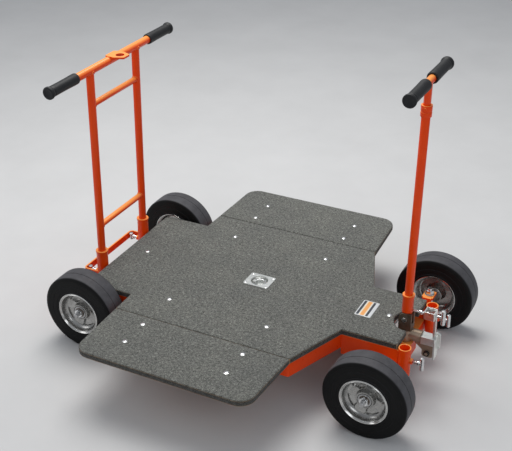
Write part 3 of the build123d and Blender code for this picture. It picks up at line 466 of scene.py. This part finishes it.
dress("steering_bushes", BRONZE, 0.0003)
for n in ("deck_panel", "left_board_panel", "right_board_panel"):
    dress(n, PLY, 0.0006)
for w in ("front_left", "front_right", "rear_left", "rear_right"):
    dress(w + "_bearings", STEEL, 0.0004)


# ------------------------------------------------------------------ carpets
def round_poly(pts, radii, per=8):
    # closed outline with rounded corners, metres
    out = []
    n = len(pts)
    for i in range(n):
        p, a, b = Vector(pts[i]), Vector(pts[i - 1]), Vector(pts[(i + 1) % n])
        r = radii[i]
        if r <= 0:
            out.append(p)
            continue
        da, db = (a - p).normalized(), (b - p).normalized()
        half = da.angle(db) / 2
        d = r / math.tan(half)
        c = p + (da + db).normalized() * (r / math.sin(half))
        s, e = p + da * d - c, p + db * d - c
        a0 = math.atan2(s.y, s.x)
        sweep = math.atan2(s.x * e.y - s.y * e.x, s.dot(e))
        for k in range(per + 1):
            t = a0 + sweep * k / per
            out.append(c + Vector((math.cos(t), math.sin(t))) * r)
    return out


def densify(pts, step):
    out = []
    n = len(pts)
    for i in range(n):
        a, b = pts[i], pts[(i + 1) % n]
        k = max(1, int((b - a).length / step))
        out += [a.lerp(b, j / k) for j in range(k)]
    return out


def area2(pts):
    return sum(pts[i - 1].x * p.y - p.x * pts[i - 1].y for i, p in enumerate(pts))


def inset(pts, d):
    # positive d moves a counter-clockwise outline inwards
    out = []
    n = len(pts)
    for i in range(n):
        e1 = (pts[i] - pts[i - 1]).normalized()
        e2 = (pts[(i + 1) % n] - pts[i]).normalized()
        n1, n2 = Vector((-e1.y, e1.x)), Vector((-e2.y, e2.x))
        m = n1 + n2
        if m.length < 1e-6:
            m = n1
        m.normalize()
        out.append(pts[i] + m * (d / max(0.35, m.dot(n1))))
    return out


def inside(p, poly):
    c = False
    j = len(poly) - 1
    for i in range(len(poly)):
        a, b = poly[i], poly[j]
        if (a.y > p.y) != (b.y > p.y) and p.x < (b.x - a.x) * (p.y - a.y) / (b.y - a.y) + a.x:
            c = not c
        j = i
    return c


def pile(x, y):
    # low lumps of the pile, metres
    v = Vector((x, y, 0.0))
    return 0.00035 * noise.noise(v * 150) + 0.00030 * noise.noise(v * 60 + Vector((3, 1, 0))) + 0.0004 * noise.noise(v * 9)


def carpet(name, outline, z_top, z_low, hole, body, cad, step=0.0085):
    if area2(outline) < 0:
        outline = list(reversed(outline))
    edge = densify(outline, step)
    rim = inset(edge, 0.0042)
    n = len(rim)
    pts = [Vector(p) for p in rim]
    edges = [(i, (i + 1) % n) for i in range(n)]
    hl = []
    if hole:
        hx, hy, hr = hole
        hl = [Vector((hx + hr * math.cos(tau * k / 40), hy + hr * math.sin(tau * k / 40))) for k in range(40)]
        b = len(pts)
        pts += hl
        edges += [(b + k, b + (k + 1) % 40) for k in range(40)]
    guard = inset(edge, 0.0042 + step * 0.45)
    xs, ys = [p.x for p in rim], [p.y for p in rim]
    y = min(ys)
    row = 0
    while y < max(ys):
        x = min(xs) + (step / 2 if row % 2 else 0)
        while x < max(xs):
            q = Vector((x + random.uniform(-1, 1) * step * 0.2, y + random.uniform(-1, 1) * step * 0.2))
            if inside(q, guard) and not (hole and (q - Vector((hx, hy))).length < hr + step * 0.5):
                pts.append(q)
            x += step
        y += step * 0.87
        row += 1
    vo, _, fo, ov, _, _ = delaunay_2d_cdt(pts, edges, [], 1, 1e-7)
    bm = bmesh.new()
    top = []
    ids = {}
    for i, p in enumerate(vo):
        src = ov[i][0] if ov[i] else -1
        z = z_top + (pile(p.x, p.y) if src >= n + len(hl) or src < n else 0.0)
        v = bm.verts.new((p.x, p.y, z))
        top.append(v)
        if 0 <= src < n + len(hl):
            ids[src] = v
    for f in fo:
        c = sum((vo[i] for i in f), Vector((0, 0))) / len(f)
        if hole and (c - Vector((hx, hy))).length < hr:
            continue
        if not inside(c, rim):
            continue
        bm.faces.new([top[i] for i in f])
    # rolled edge: over the side and a little way underneath
    prev = [ids[i] for i in range(n)]
    for d, z in ((0.0022, z_top - 0.0005), (0.0008, z_top - 0.0018), (-0.0001, z_top - 0.0038), (-0.0003, z_top - 0.008),
                 (-0.0003, (z_top + z_low) / 2), (-0.0003, z_low + 0.002), (0.0010, z_low - 0.0006), (0.012, z_low - 0.0009),
                 (0.014, z_low - 0.0001)):
        ring = inset(edge, d)
        cur = []
        for p in ring:
            j = 0.00018 * noise.noise(Vector((p.x * 220, p.y * 220, z * 300)))
            cur.append(bm.verts.new((p.x + j, p.y + j, z)))
        for k in range(n):
            k2 = (k + 1) % n
            bm.faces.new((prev[k], prev[k2], cur[k2], cur[k]))
        prev = cur
    if hole:
        prev = [ids[n + k] for k in range(40)]
        cur = [bm.verts.new((p.x, p.y, z_top - 0.0028)) for p in hl]
        for k in range(40):
            k2 = (k + 1) % 40
            bm.faces.new((prev[k], cur[k], cur[k2], prev[k2]))
    o = finish_mesh(name, bm, CARPET, body, 60.0)
    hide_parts(cad)
    return o


def mm(pts):
    return [Vector((x * MM, y * MM)) for x, y in pts]


DECK = [(-512.5, 247), (-344, 247), (-341.2, 333.5), (261, 333.5), (338, 132.6), (514.5, 132.6)]
arc = []
t0 = math.asin((514.5 - 513.0) / 55.0)
for k in range(0, 15):
    t = math.pi / 2 - t0 + (math.pi + 2 * t0) * k / 14
    arc.append((513 + 55 * math.cos(t), 55 * math.sin(t)))
half_pts = DECK
full = half_pts + arc + [(x, -y) for x, y in reversed(half_pts)]
radii = [25 * MM, 0, 0.004, 0.006, 0.004, 0.004] + [0.0] * len(arc) + list(reversed([25 * MM, 0, 0.004, 0.006, 0.004, 0.004]))
carpet("deck_carpet_pile", round_poly(mm(full), radii), 0.2, 0.181, (-0.008, 0.0, 0.0300), "root", "deck_carpet")
for side, s in (("left", 1), ("right", -1)):
    pts = [(-341.15, s * 334.5), (-333.5, s * 570.5), (247.0, s * 570.5), (261.0, s * 334.5)]
    carpet(f"{side}_board_carpet_pile", round_poly(mm(pts), [0.003, 0.048, 0.048, 0.003], 14), 0.2, 0.181, None, f"{side}_board",
           f"{side}_board_carpet")


# ------------------------------------------------------------------ bolts: low button heads with a hex recess, washers pressed in the pile
def button_bolt(bm, x, y, z0, r=0.0065, h=0.0024, turn=0.0):
    o = Vector((x, y, z0))
    seg = 36

    def hexr(th):
        q = (th - turn) % (math.pi / 3) - math.pi / 6
        return 0.0021 / math.cos(q)

    rings = []
    prof = [(-0.0012, r * 1.16), (0.0002, r * 1.16), (0.0004, r * 1.02), (0.0006, r), (h * 0.55, r * 0.95), (h * 0.85, r * 0.78), (h, r * 0.52)]
    for z, rad in prof:
        rings.append([bm.verts.new(o + Vector((math.cos(tau * k / seg) * rad, math.sin(tau * k / seg) * rad, z))) for k in range(seg)])
    for z in (h, h - 0.0013):
        rings.append([bm.verts.new(o + Vector((math.cos(tau * k / seg), math.sin(tau * k / seg), 0)) * hexr(tau * k / seg) + Vector((0, 0, z)))
                      for k in range(seg)])
    for p, q in zip(rings, rings[1:]):
        for k in range(seg):
            bm.faces.new((p[k], p[(k + 1) % seg], q[(k + 1) % seg], q[k]))
    bm.faces.new(rings[-1])
    bm.faces.new(list(reversed(rings[0])))


ROWS = (-0.2165, 0.1286)
jobs = (("deck_bolt_heads", "root", "deck_bolts", [(x, y) for x in ROWS for y in (0.2192, -0.2192)] + [(-0.439, 0.0), (0.440, 0.0)]),
        ("left_board_bolt_heads", "left_board", "left_board_bolts", [(x, y) for x in ROWS for y in (0.3732, 0.4712)]),
        ("right_board_bolt_heads", "right_board", "right_board_bolts", [(x, -y) for x in ROWS for y in (0.3732, 0.4712)]))
for name, body, cad, places in jobs:
    bm = bmesh.new()
    for x, y in places:
        button_bolt(bm, x, y, 0.2, turn=random.uniform(0, 1))
    o = finish_mesh(name, bm, ZINC, body, 28)
    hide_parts(cad)


# ------------------------------------------------------------------ wheels
HW, R, RR = 0.0395, 0.130, 0.0743


def tyre_profile():
    p = [(-HW + 0.014, RR - 0.007), (-HW + 0.004, RR - 0.003), (-HW, RR)]
    side = [(HW, RR), (HW + 0.0004, 0.0772), (HW + 0.0002, 0.0795), (HW - 0.0008, 0.0802), (HW - 0.0010, 0.0835), (HW - 0.0002, 0.0843),
            (HW - 0.0001, 0.0900), (HW - 0.0001, 0.0980), (HW - 0.0009, 0.0986), (HW - 0.0009, 0.1000), (HW - 0.0002, 0.1006),
            (HW - 0.0002, 0.1150), (HW - 0.0008, 0.1156), (HW - 0.0008, 0.1164), (HW - 0.0004, 0.1170), (HW - 0.0010, 0.1215),
            (HW - 0.0022, 0.1250), (HW - 0.0042, 0.1278), (HW - 0.0070, 0.1292), (HW - 0.0110, 0.1297)]
    out = [(-a, r) for a, r in side]
    tread = [(-0.0200, 0.1299), (-0.0080, 0.1300), (0.0028, 0.1300), (0.0032, 0.1293), (0.0042, 0.1293), (0.0046, 0.1300), (0.0150, 0.1300),
             (0.0215, 0.1299)]
    inner = [(HW - 0.004, RR - 0.003), (HW - 0.014, RR - 0.007)]
    return p[:2] + out + tread + list(reversed(side)) + inner


def smooth01(t):
    t = min(1.0, max(0.0, t))
    return t * t * (3 - 2 * t)


def rim_height(r, th):
    # outboard face of the casting: double lip, deep dish, web with four shallow sector pockets, hub
    q = abs(((th / (tau / 4)) + 0.5) % 1.0 - 0.5) * (tau / 4)      # angle from the nearest spoke
    lip = [(0.0743, 0.0395), (0.0740, 0.0408), (0.0730, 0.0414), (0.0718, 0.0411), (0.0708, 0.0398), (0.0702, 0.0391), (0.0695, 0.0392),
           (0.0687, 0.0399), (0.0678, 0.0400), (0.0669, 0.0392), (0.0662, 0.0372), (0.0656, 0.0340), (0.0646, 0.0305), (0.0630, 0.0268),
           (0.0608, 0.0236), (0.0580, 0.0212), (0.0565, 0.0203)]
    if r >= lip[-1][0]:
        for (r1, a1), (r0, a0) in zip(lip, lip[1:]):
            if r >= r0:
                return a0 + (a1 - a0) * (r - r0) / (r1 - r0)
    spoke = 0.0203 - 0.0040 * smooth01((0.0565 - r) / 0.020)
    floor_z = spoke - 0.0058
    half = math.asin(min(0.9, 0.0118 / r)) + math.radians(7)        # broad spokes with nearly straight sides
    k = 1 - smooth01((q - half) / 0.050)
    out = smooth01((r - 0.0535) / 0.0028)
    inn = 1 - smooth01((r - 0.0315) / 0.0030)
    k = max(k, out, inn)
    # raised bead round each pocket
    bead = max(0.0, 1 - abs(q - half) / 0.022) * (1 - out) * (1 - inn)
    a = floor_z + (spoke - floor_z) * k + 0.0016 * bead
    # hub boss
    if r < 0.0300:
        a += (0.0300 - a) * smooth01((0.0300 - r) / 0.0036)
    if r < 0.0243:
        a = 0.0310
    if r < 0.0226:
        a = 0.0262
    return a


def wheel(prefix, x, y, s):
    body = f"{prefix}_wheel"
    ctr, ax = (x, y, 0.13), (0, s, 0)
    bm = bmesh.new()
    lathe(bm, tyre_profile(), ctr, ax, 160)
    o = finish_mesh(f"{prefix}_tyre_rubber", bm, TYRE, body, 30)
    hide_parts(f"{prefix}_tyre")
    # rim casting
    bm = bmesh.new()
    a, u, w = basis(ax)
    c = Vector(ctr)
    seg = 144
    radii_o = [0.0743, 0.0740, 0.0730, 0.0718, 0.0708, 0.0702, 0.0695, 0.0687, 0.0678, 0.0669, 0.0662, 0.0656, 0.0646, 0.0630, 0.0608, 0.0580,
               0.0565, 0.0558, 0.0550, 0.0542, 0.0534, 0.0520, 0.0500, 0.0475, 0.0450, 0.0425, 0.0400, 0.0375, 0.0355, 0.0345, 0.0335, 0.0325,
               0.0315, 0.0306, 0.0300, 0.0292, 0.0284, 0.0276, 0.0268, 0.0260, 0.0250, 0.02435, 0.0240, 0.0232, 0.02265, 0.0224, 0.0160]

    def ring(r, h, twist=0.0):
        return [bm.verts.new(c + a * h(tau * k / seg) + (u * math.cos(tau * k / seg + twist) + w * math.sin(tau * k / seg + twist)) * r) for k in range(seg)]

    rings = [ring(r, (lambda th, r=r: rim_height(r, th + math.radians(20)))) for r in radii_o]
    back = [(0.0160, -0.0285), (0.0206, -0.0285), (0.0214, -0.0300), (0.0235, -0.0310), (0.0250, -0.0300), (0.0290, -0.0120), (0.0330, -0.0060),
            (0.0540, -0.0050), (0.0575, -0.0080), (0.0600, -0.0260), (0.0640, -0.0340), (0.0690, -0.0385), (0.0722, -0.0410), (0.0738, -0.0406),
            (0.0743, -0.0395)]
    rings += [ring(r, (lambda th, h=h: h)) for r, h in back]
    barrel = [(0.0713, -0.0355), (0.0673, -0.0255), (0.0673, 0.0255), (0.0713, 0.0355)]
    rings += [ring(r, (lambda th, h=h: h)) for r, h in barrel]
    n = len(rings)
    for i in range(n):
        p, q = rings[i], rings[(i + 1) % n]
        for k in range(seg):
            f = bm.faces.new((p[k], q[k], q[(k + 1) % seg], p[(k + 1) % seg]))
            f.material_index = 1 if i < 11 or len(radii_o) + 9 <= i < len(radii_o) + 14 else 0
    o = finish_mesh(f"{prefix}_rim_casting", bm, [RIM, LIP], body, 33)
    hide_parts(f"{prefix}_rim")
    # dark dust shields in the hub mouths
    bm = bmesh.new()
    lathe(bm, [(0.0262, 0.0222), (0.0280, 0.0221), (0.0283, 0.0212), (0.0279, 0.0205), (0.0279, 0.0118), (0.0283, 0.0112), (0.0282, 0.0104), (0.0262, 0.0104),
               (0.0262, 0.0222)], ctr, ax, 64)
    finish_mesh(f"{prefix}_bearing_shield", bm, BLACKSTEEL, body, 30)


def hex_nut(bm, origin, axis, r_corner, bore, t0, t1, seg=72, phase=0.3):
    # chamfered hexagon nut with a bore
    a, u, w = basis(axis)
    o = Vector(origin)
    apo = r_corner * math.cos(math.pi / 6)

    def hexr(th, lim):
        q = (th % (math.pi / 3)) - math.pi / 6
        return min(lim, apo / math.cos(q))

    cham = r_corner * 0.10
    prof = [(t0, bore, False), (t0, apo * 0.96, False), (t0 + cham * 0.55, r_corner, True), (t1 - cham * 0.55, r_corner, True),
            (t1, apo * 0.96, False), (t1, bore * 1.18, False), (t1 - 0.0012, bore, False)]
    rings = []
    for t, r, h in prof:
        rings.append([])
        for k in range(seg):
            th = tau * k / seg
            rad = hexr(th, r) if h else r
            rings[-1].append(bm.verts.new(o + a * t + (u * math.cos(th + phase) + w * math.sin(th + phase)) * rad))
    n = len(rings)
    for i in range(n):
        p, q = rings[i], rings[(i + 1) % n]
        for k in range(seg):
            bm.faces.new((p[k], q[k], q[(k + 1) % seg], p[(k + 1) % seg]))


WHEELS = (("front_left", 0.495, 0.3025, 1), ("front_right", 0.495, -0.3025, -1), ("rear_left", -0.495, 0.2942, 1), ("rear_right", -0.495, -0.2942, -1))
for w_ in WHEELS:
    wheel(*w_)
for name, x, y, s in WHEELS:
    body = name.replace("front_left", "front_left_knuckle").replace("front_right", "front_right_knuckle") if name.startswith("front") else "root"
    bm = bmesh.new()
    hex_nut(bm, (x, y, 0.13), (0, s, 0), 0.0149, 0.0070, 0.0313, 0.0403, phase=0.4 * s + x)
    finish_mesh(f"{name}_hub_nut", bm, ZINC, body, 25)
    # washer under the nut, threaded end with a centre hole
    bm = bmesh.new()
    lathe(bm, [(0.0302, 0.0072), (0.0302, 0.0160), (0.0305, 0.0165), (0.0311, 0.0165), (0.0314, 0.0160), (0.0314, 0.0072), (0.0302, 0.0072)],
          (x, y, 0.13), (0, s, 0), 48)
    finish_mesh(f"{name}_hub_washer", bm, BROWN, body, 30)
    bm = bmesh.new()
    prof = [(0.0400, 0.0072)]
    t = 0.0404
    while t < 0.0540:
        prof += [(t, 0.00715), (t + 0.0006, 0.0079)]
        t += 0.0012
    prof += [(t + 0.0002, 0.0072), (0.0553, 0.0068), (0.0556, 0.0062), (0.0556, 0.0032), (0.0530, 0.0020), (0.0528, 0.0)]
    lathe(bm, prof, (x, y, 0.13), (0, s, 0), 40)
    finish_mesh(f"{name}_axle_thread", bm, STEEL, body, 24)


# ------------------------------------------------------------------ rubber grips
def grip(name, bm, centre, s, y_in, y_out, core):
    body = [(y_in + 0.0006, core + 0.0002), (y_in, core + 0.0014), (y_in, 0.0152), (y_in + 0.0012, 0.0166), (y_in + 0.004, 0.0173),
            (y_in + 0.020, 0.0172), (y_in + 0.045, 0.0167), (y_in + 0.070, 0.0165), (y_out - 0.030, 0.0166), (y_out - 0.0185, 0.0169),
            (y_out - 0.0165, 0.0161), (y_out - 0.0145, 0.0160), (y_out - 0.0125, 0.0169), (y_out - 0.0100, 0.0188),
            (y_out - 0.0080, 0.0195), (y_out - 0.006, 0.0197), (y_out - 0.0025, 0.0196), (y_out - 0.0008, 0.0188), (y_out, 0.0172)]
    fine = []
    for (a0, r0), (a1, r1) in zip(body, body[1:]):
        k = max(1, int(abs(a1 - a0) / 0.0022))
        fine += [(a0 + (a1 - a0) * j / k, r0 + (r1 - r0) * j / k) for j in range(k)]
    fine.append(body[-1])
    prof = []
    for a, r in fine:
        # shallow moulded rings along the hand area
        if y_in + 0.012 < a < y_out - 0.026:
            r += 0.00022 * math.sin((a - y_in) * tau / 0.0066)
        prof.append((a, r))
    prof += [(y_out - 0.0003, 0.0120), (y_out - 0.0009, 0.0110), (y_out - 0.0012, 0.0050), (y_out - 0.0012, 0.0)]
    lathe(bm, prof, centre, (0, s, 0), 64)


GX, GZ = -0.5105, 0.883
bm = bmesh.new()
for s in (1, -1):
    grip("g", bm, (GX, 0, GZ), s, 0.194, 0.328, 0.0127)
o = finish_mesh("push_bar_rubber_grips", bm, GRIP, "push_bar", 35)
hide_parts("push_bar_grips")
HA = math.radians(1.4)
TX, TZ = 0.495 + 0.761 * math.sin(HA), 0.212 + 0.761 * math.cos(HA)
bm = bmesh.new()
for s in (1, -1):
    grip("g", bm, (TX, 0, TZ), s, 0.025, 0.157, 0.011)
o = finish_mesh("tee_handle_rubber_grips", bm, GRIP, "tee_handle", 35)
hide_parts("handle_grips")


# ------------------------------------------------------------------ weld beads
POST_LEAN = math.radians(2.3)
PD = Vector((math.sin(POST_LEAN), 0, math.cos(POST_LEAN)))


def post_x(z):
    return -0.5409 + (z - 0.126) * math.tan(POST_LEAN)


def saddle(origin, axis, r_small, r_big, big_axis, sign):
    # where a small tube along axis meets a big one along big_axis; sign picks the side
    a, u, w = Vector(axis).normalized(), None, None
    b = Vector(big_axis).normalized()
    u = (b - a * a.dot(b)).normalized()
    w = a.cross(u)
    pts = []
    for k in range(48):
        th = tau * k / 48
        off = r_small * math.sin(th)
        t = math.sqrt(max(0.0, r_big * r_big - off * off))
        pts.append(Vector(origin) + a * sign * t + (u * math.cos(th) + w * math.sin(th)) * (r_small + 0.0004))
    return pts


bm = bmesh.new()
for z in (0.342, 0.772):
    for s in (1, -1):
        tube_path(bm, saddle((post_x(z), s * 0.124, z), (0, 1, 0), 0.00975, 0.0127, PD, -s), 0.0021, 8, True, z + s, 0.5)
for s in (1, -1):
    tube_path(bm, saddle((-0.5105, s * 0.124, 0.883), -PD, 0.0127, 0.0127, (0, 1, 0), 1), 0.0022, 8, True, s, 0.5)
for s in (1, -1):
    # along the lug's sides where it lies on the crossbar
    pts = [Vector((GX + x, s * (0.024 + (x + 0.012) * 5.0 / 34.0 + 0.0006), GZ + math.sqrt(max(0.0, 0.0127 ** 2 - x * x)) + 0.0006)) for x in [(-0.008 + 0.0009 * k) for k in range(20)]]
    tube_path(bm, pts, 0.0017, 8, False, s, 0.5)
finish_mesh("push_bar_welds", bm, ORANGE, "push_bar", 40)

bm = bmesh.new()
for s in (1, -1):
    for sx in (-1, 1):
        # frame plate to front socket
        y0 = s * (0.1296 + sx * 0.0036)
        x0 = 0.536 - math.sqrt(0.019 ** 2 - (abs(y0) - 0.124) ** 2)
        pts = [Vector((x0 - 0.0006, y0, 0.111 + 0.07 * k / 30)) for k in range(31)]
        tube_path(bm, pts, 0.0019, 8, False, s * 3 + sx, 0.5)
    # axle beam to kingpin bracket, three visible sides
    pts = [Vector((0.477 + 0.036 * k / 16, s * 0.1915, 0.1284)) for k in range(17)]
    tube_path(bm, pts, 0.0022, 8, False, s * 5, 0.5)
    # bracket plates
    for z in (0.1556, 0.0924):
        pts = [Vector((0.4805 + 0.029 * k / 14, s * 0.1986, z)) for k in range(15)]
        tube_path(bm, pts, 0.0019, 8, False, s * 7 + z, 0.5)
    # guard to rear socket
    pts = [Vector((-0.5415 - 0.001 * 0, s * 0.1437, 0.149 + 0.021 * k / 10)) for k in range(11)]
    tube_path(bm, pts, 0.0019, 8, False, s * 9, 0.5)
finish_mesh("frame_welds", bm, ORANGE, "root", 40)


# ------------------------------------------------------------------ striped plate label (generic, no lettering)
def label_mat():
    m, nt, b = new_mat("striped_label")
    t = nt.nodes.new("ShaderNodeTexCoord")
    sep = nt.nodes.new("ShaderNodeSeparateXYZ")
    nt.links.new(t.outputs["Object"], sep.inputs[0])
    # position across the label, 0 to 1
    u = math_node(nt, "DIVIDE", math_node(nt, "SUBTRACT", sep.outputs[0], 0.340), 0.052)
    silver, dark, orange, cream = (0.62, 0.64, 0.65), (0.035, 0.038, 0.048), (0.82, 0.36, 0.10), (0.80, 0.66, 0.46)
    n = nt.nodes.new("ShaderNodeValToRGB")
    n.color_ramp.interpolation = "CONSTANT"
    stops = [(0.0, silver), (0.07, dark), (0.22, silver), (0.26, cream), (0.33, orange), (0.55, cream), (0.61, silver), (0.65, dark), (0.80, silver)]
    el = n.color_ramp.elements
    while len(el) < len(stops):
        el.new(0.5)
    for e, (p, c) in zip(el, stops):
        e.position = p
        e.color = (*c, 1)
    nt.links.new(u, n.inputs[0])
    # pale border at both ends
    ay = math_node(nt, "ABSOLUTE", math_node(nt, "SUBTRACT", sep.outputs[1], 0.002))
    border = math_node(nt, "GREATER_THAN", ay, 0.0395)
    col = mix(nt, border, n.outputs[0], silver)
    v = coords(nt)
    scuff = ramp(nt, noise_tex(nt, v, 260.0, 5.0, 0.7, 0.6), [(0.55, 0.0), (0.78, 0.5)])
    col = mix(nt, scuff, col, (0.42, 0.41, 0.40))
    nt.links.new(col, b.inputs["Base Color"])
    nt.links.new(ramp(nt, noise_tex(nt, v, 90.0), [(0.3, 0.28), (0.7, 0.5)]), b.inputs["Roughness"])
    b.inputs["Metallic"].default_value = 0.15
    bump(nt, b, noise_tex(nt, v, 300.0), 0.08, 0.0004)
    return m


bm = bmesh.new()
lab = round_poly(mm([(340, -41), (392, -41), (392, 45), (340, 45)]), [0.0025] * 4, 5)
mid = densify(lab, 0.006)
rings = []
for d, z in ((0.0, 0.1996), (0.0, 0.20085), (0.0004, 0.20105), (0.0012, 0.20112)):
    rings.append([bm.verts.new((p.x, p.y, z)) for p in inset(mid, d)])
for p, q in zip(rings, rings[1:]):
    for k in range(len(p)):
        bm.faces.new((p[k], p[(k + 1) % len(p)], q[(k + 1) % len(p)], q[k]))
bm.faces.new(rings[-1])
bm.faces.new(list(reversed(rings[0])))
finish_mesh("striped_label", bm, label_mat(), "root", 30)

# ------------------------------------------------------------------ tie-down plate screws
bm = bmesh.new()
for sx in (-1, 1):
    for sy in (-1, 1):
        button_bolt(bm, -0.008 + sx * 0.0365, sy * 0.0280, 0.2020, 0.0036, 0.0012, random.uniform(0, 1))
finish_mesh("tie_down_plate_screws", bm, ZINC, "root", 28)


bm = bmesh.new()
lathe(bm, [(0.0, 0.0094), (0.0052, 0.0094), (0.0060, 0.0088), (0.0063, 0.0080), (0.0063, 0.0052)], (0.569, -0.0120, 0.106), (0, -1, 0), 48)
o = Vector((0.569, -0.0183, 0.106))
top = [v for v in bm.verts if abs(v.co.y + 0.0183) < 1e-6 and (v.co - o).length < 0.0053]
bmesh.ops.contextual_create(bm, geom=top)
r = [f for f in bm.faces if len(f.verts) > 6]
ext = bmesh.ops.extrude_discrete_faces(bm, faces=r)
for f in ext["faces"]:
    for v in f.verts:
        v.co.y += 0.0038
finish_mesh("steering_cross_bolt", bm, BLACKSTEEL, "steering", 30)


# ------------------------------------------------------------------ studio
def floor_mat():
    m, nt, b = new_mat("studio_floor")
    v = coords(nt)
    col = ramp(nt, noise_tex(nt, v, 3.0, 4.0, 0.6), [(0.3, (0.60, 0.60, 0.60)), (0.7, (0.64, 0.64, 0.64))])
    nt.links.new(col, b.inputs["Base Color"])
    b.inputs["Roughness"].default_value = 0.8
    return m


bm = bmesh.new()
vs = [bm.verts.new(p) for p in ((-9, -9, 0), (9, -9, 0), (9, 9, 0), (-9, 9, 0))]
bm.faces.new(vs)
me = bpy.data.meshes.new("floor")
bm.to_mesh(me)
bm.free()
fl = bpy.data.objects.new("floor", me)
bpy.context.scene.collection.objects.link(fl)
me.materials.append(floor_mat())

world = bpy.data.worlds.new("studio")
bpy.context.scene.world = world
world.use_nodes = True
bg = world.node_tree.nodes["Background"]
bg.inputs[0].default_value = (0.80, 0.84, 0.90, 1)
bg.inputs[1].default_value = 0.44


def area(name, loc, target, size, power, color=(1, 1, 1)):
    l = bpy.data.lights.new(name, "AREA")
    l.shape = "RECTANGLE"
    l.size, l.size_y = size
    l.energy = power
    l.color = color
    o = bpy.data.objects.new(name, l)
    bpy.context.scene.collection.objects.link(o)
    o.location = loc
    o.rotation_euler = (Vector(target) - Vector(loc)).to_track_quat("-Z", "Y").to_euler()


area("key", (-0.8, 0.9, 3.4), (0, 0, 0.1), (2.6, 2.0), 98, (1.0, 0.985, 0.96))
area("fill", (2.6, -2.4, 2.2), (0, 0, 0.3), (2.2, 1.6), 20, (0.94, 0.97, 1.0))
area("rim_light", (-2.8, -1.6, 1.8), (0, 0, 0.3), (1.6, 1.6), 12, (1.0, 1.0, 1.0))
bpy.context.scene.view_settings.view_transform = "Standard"
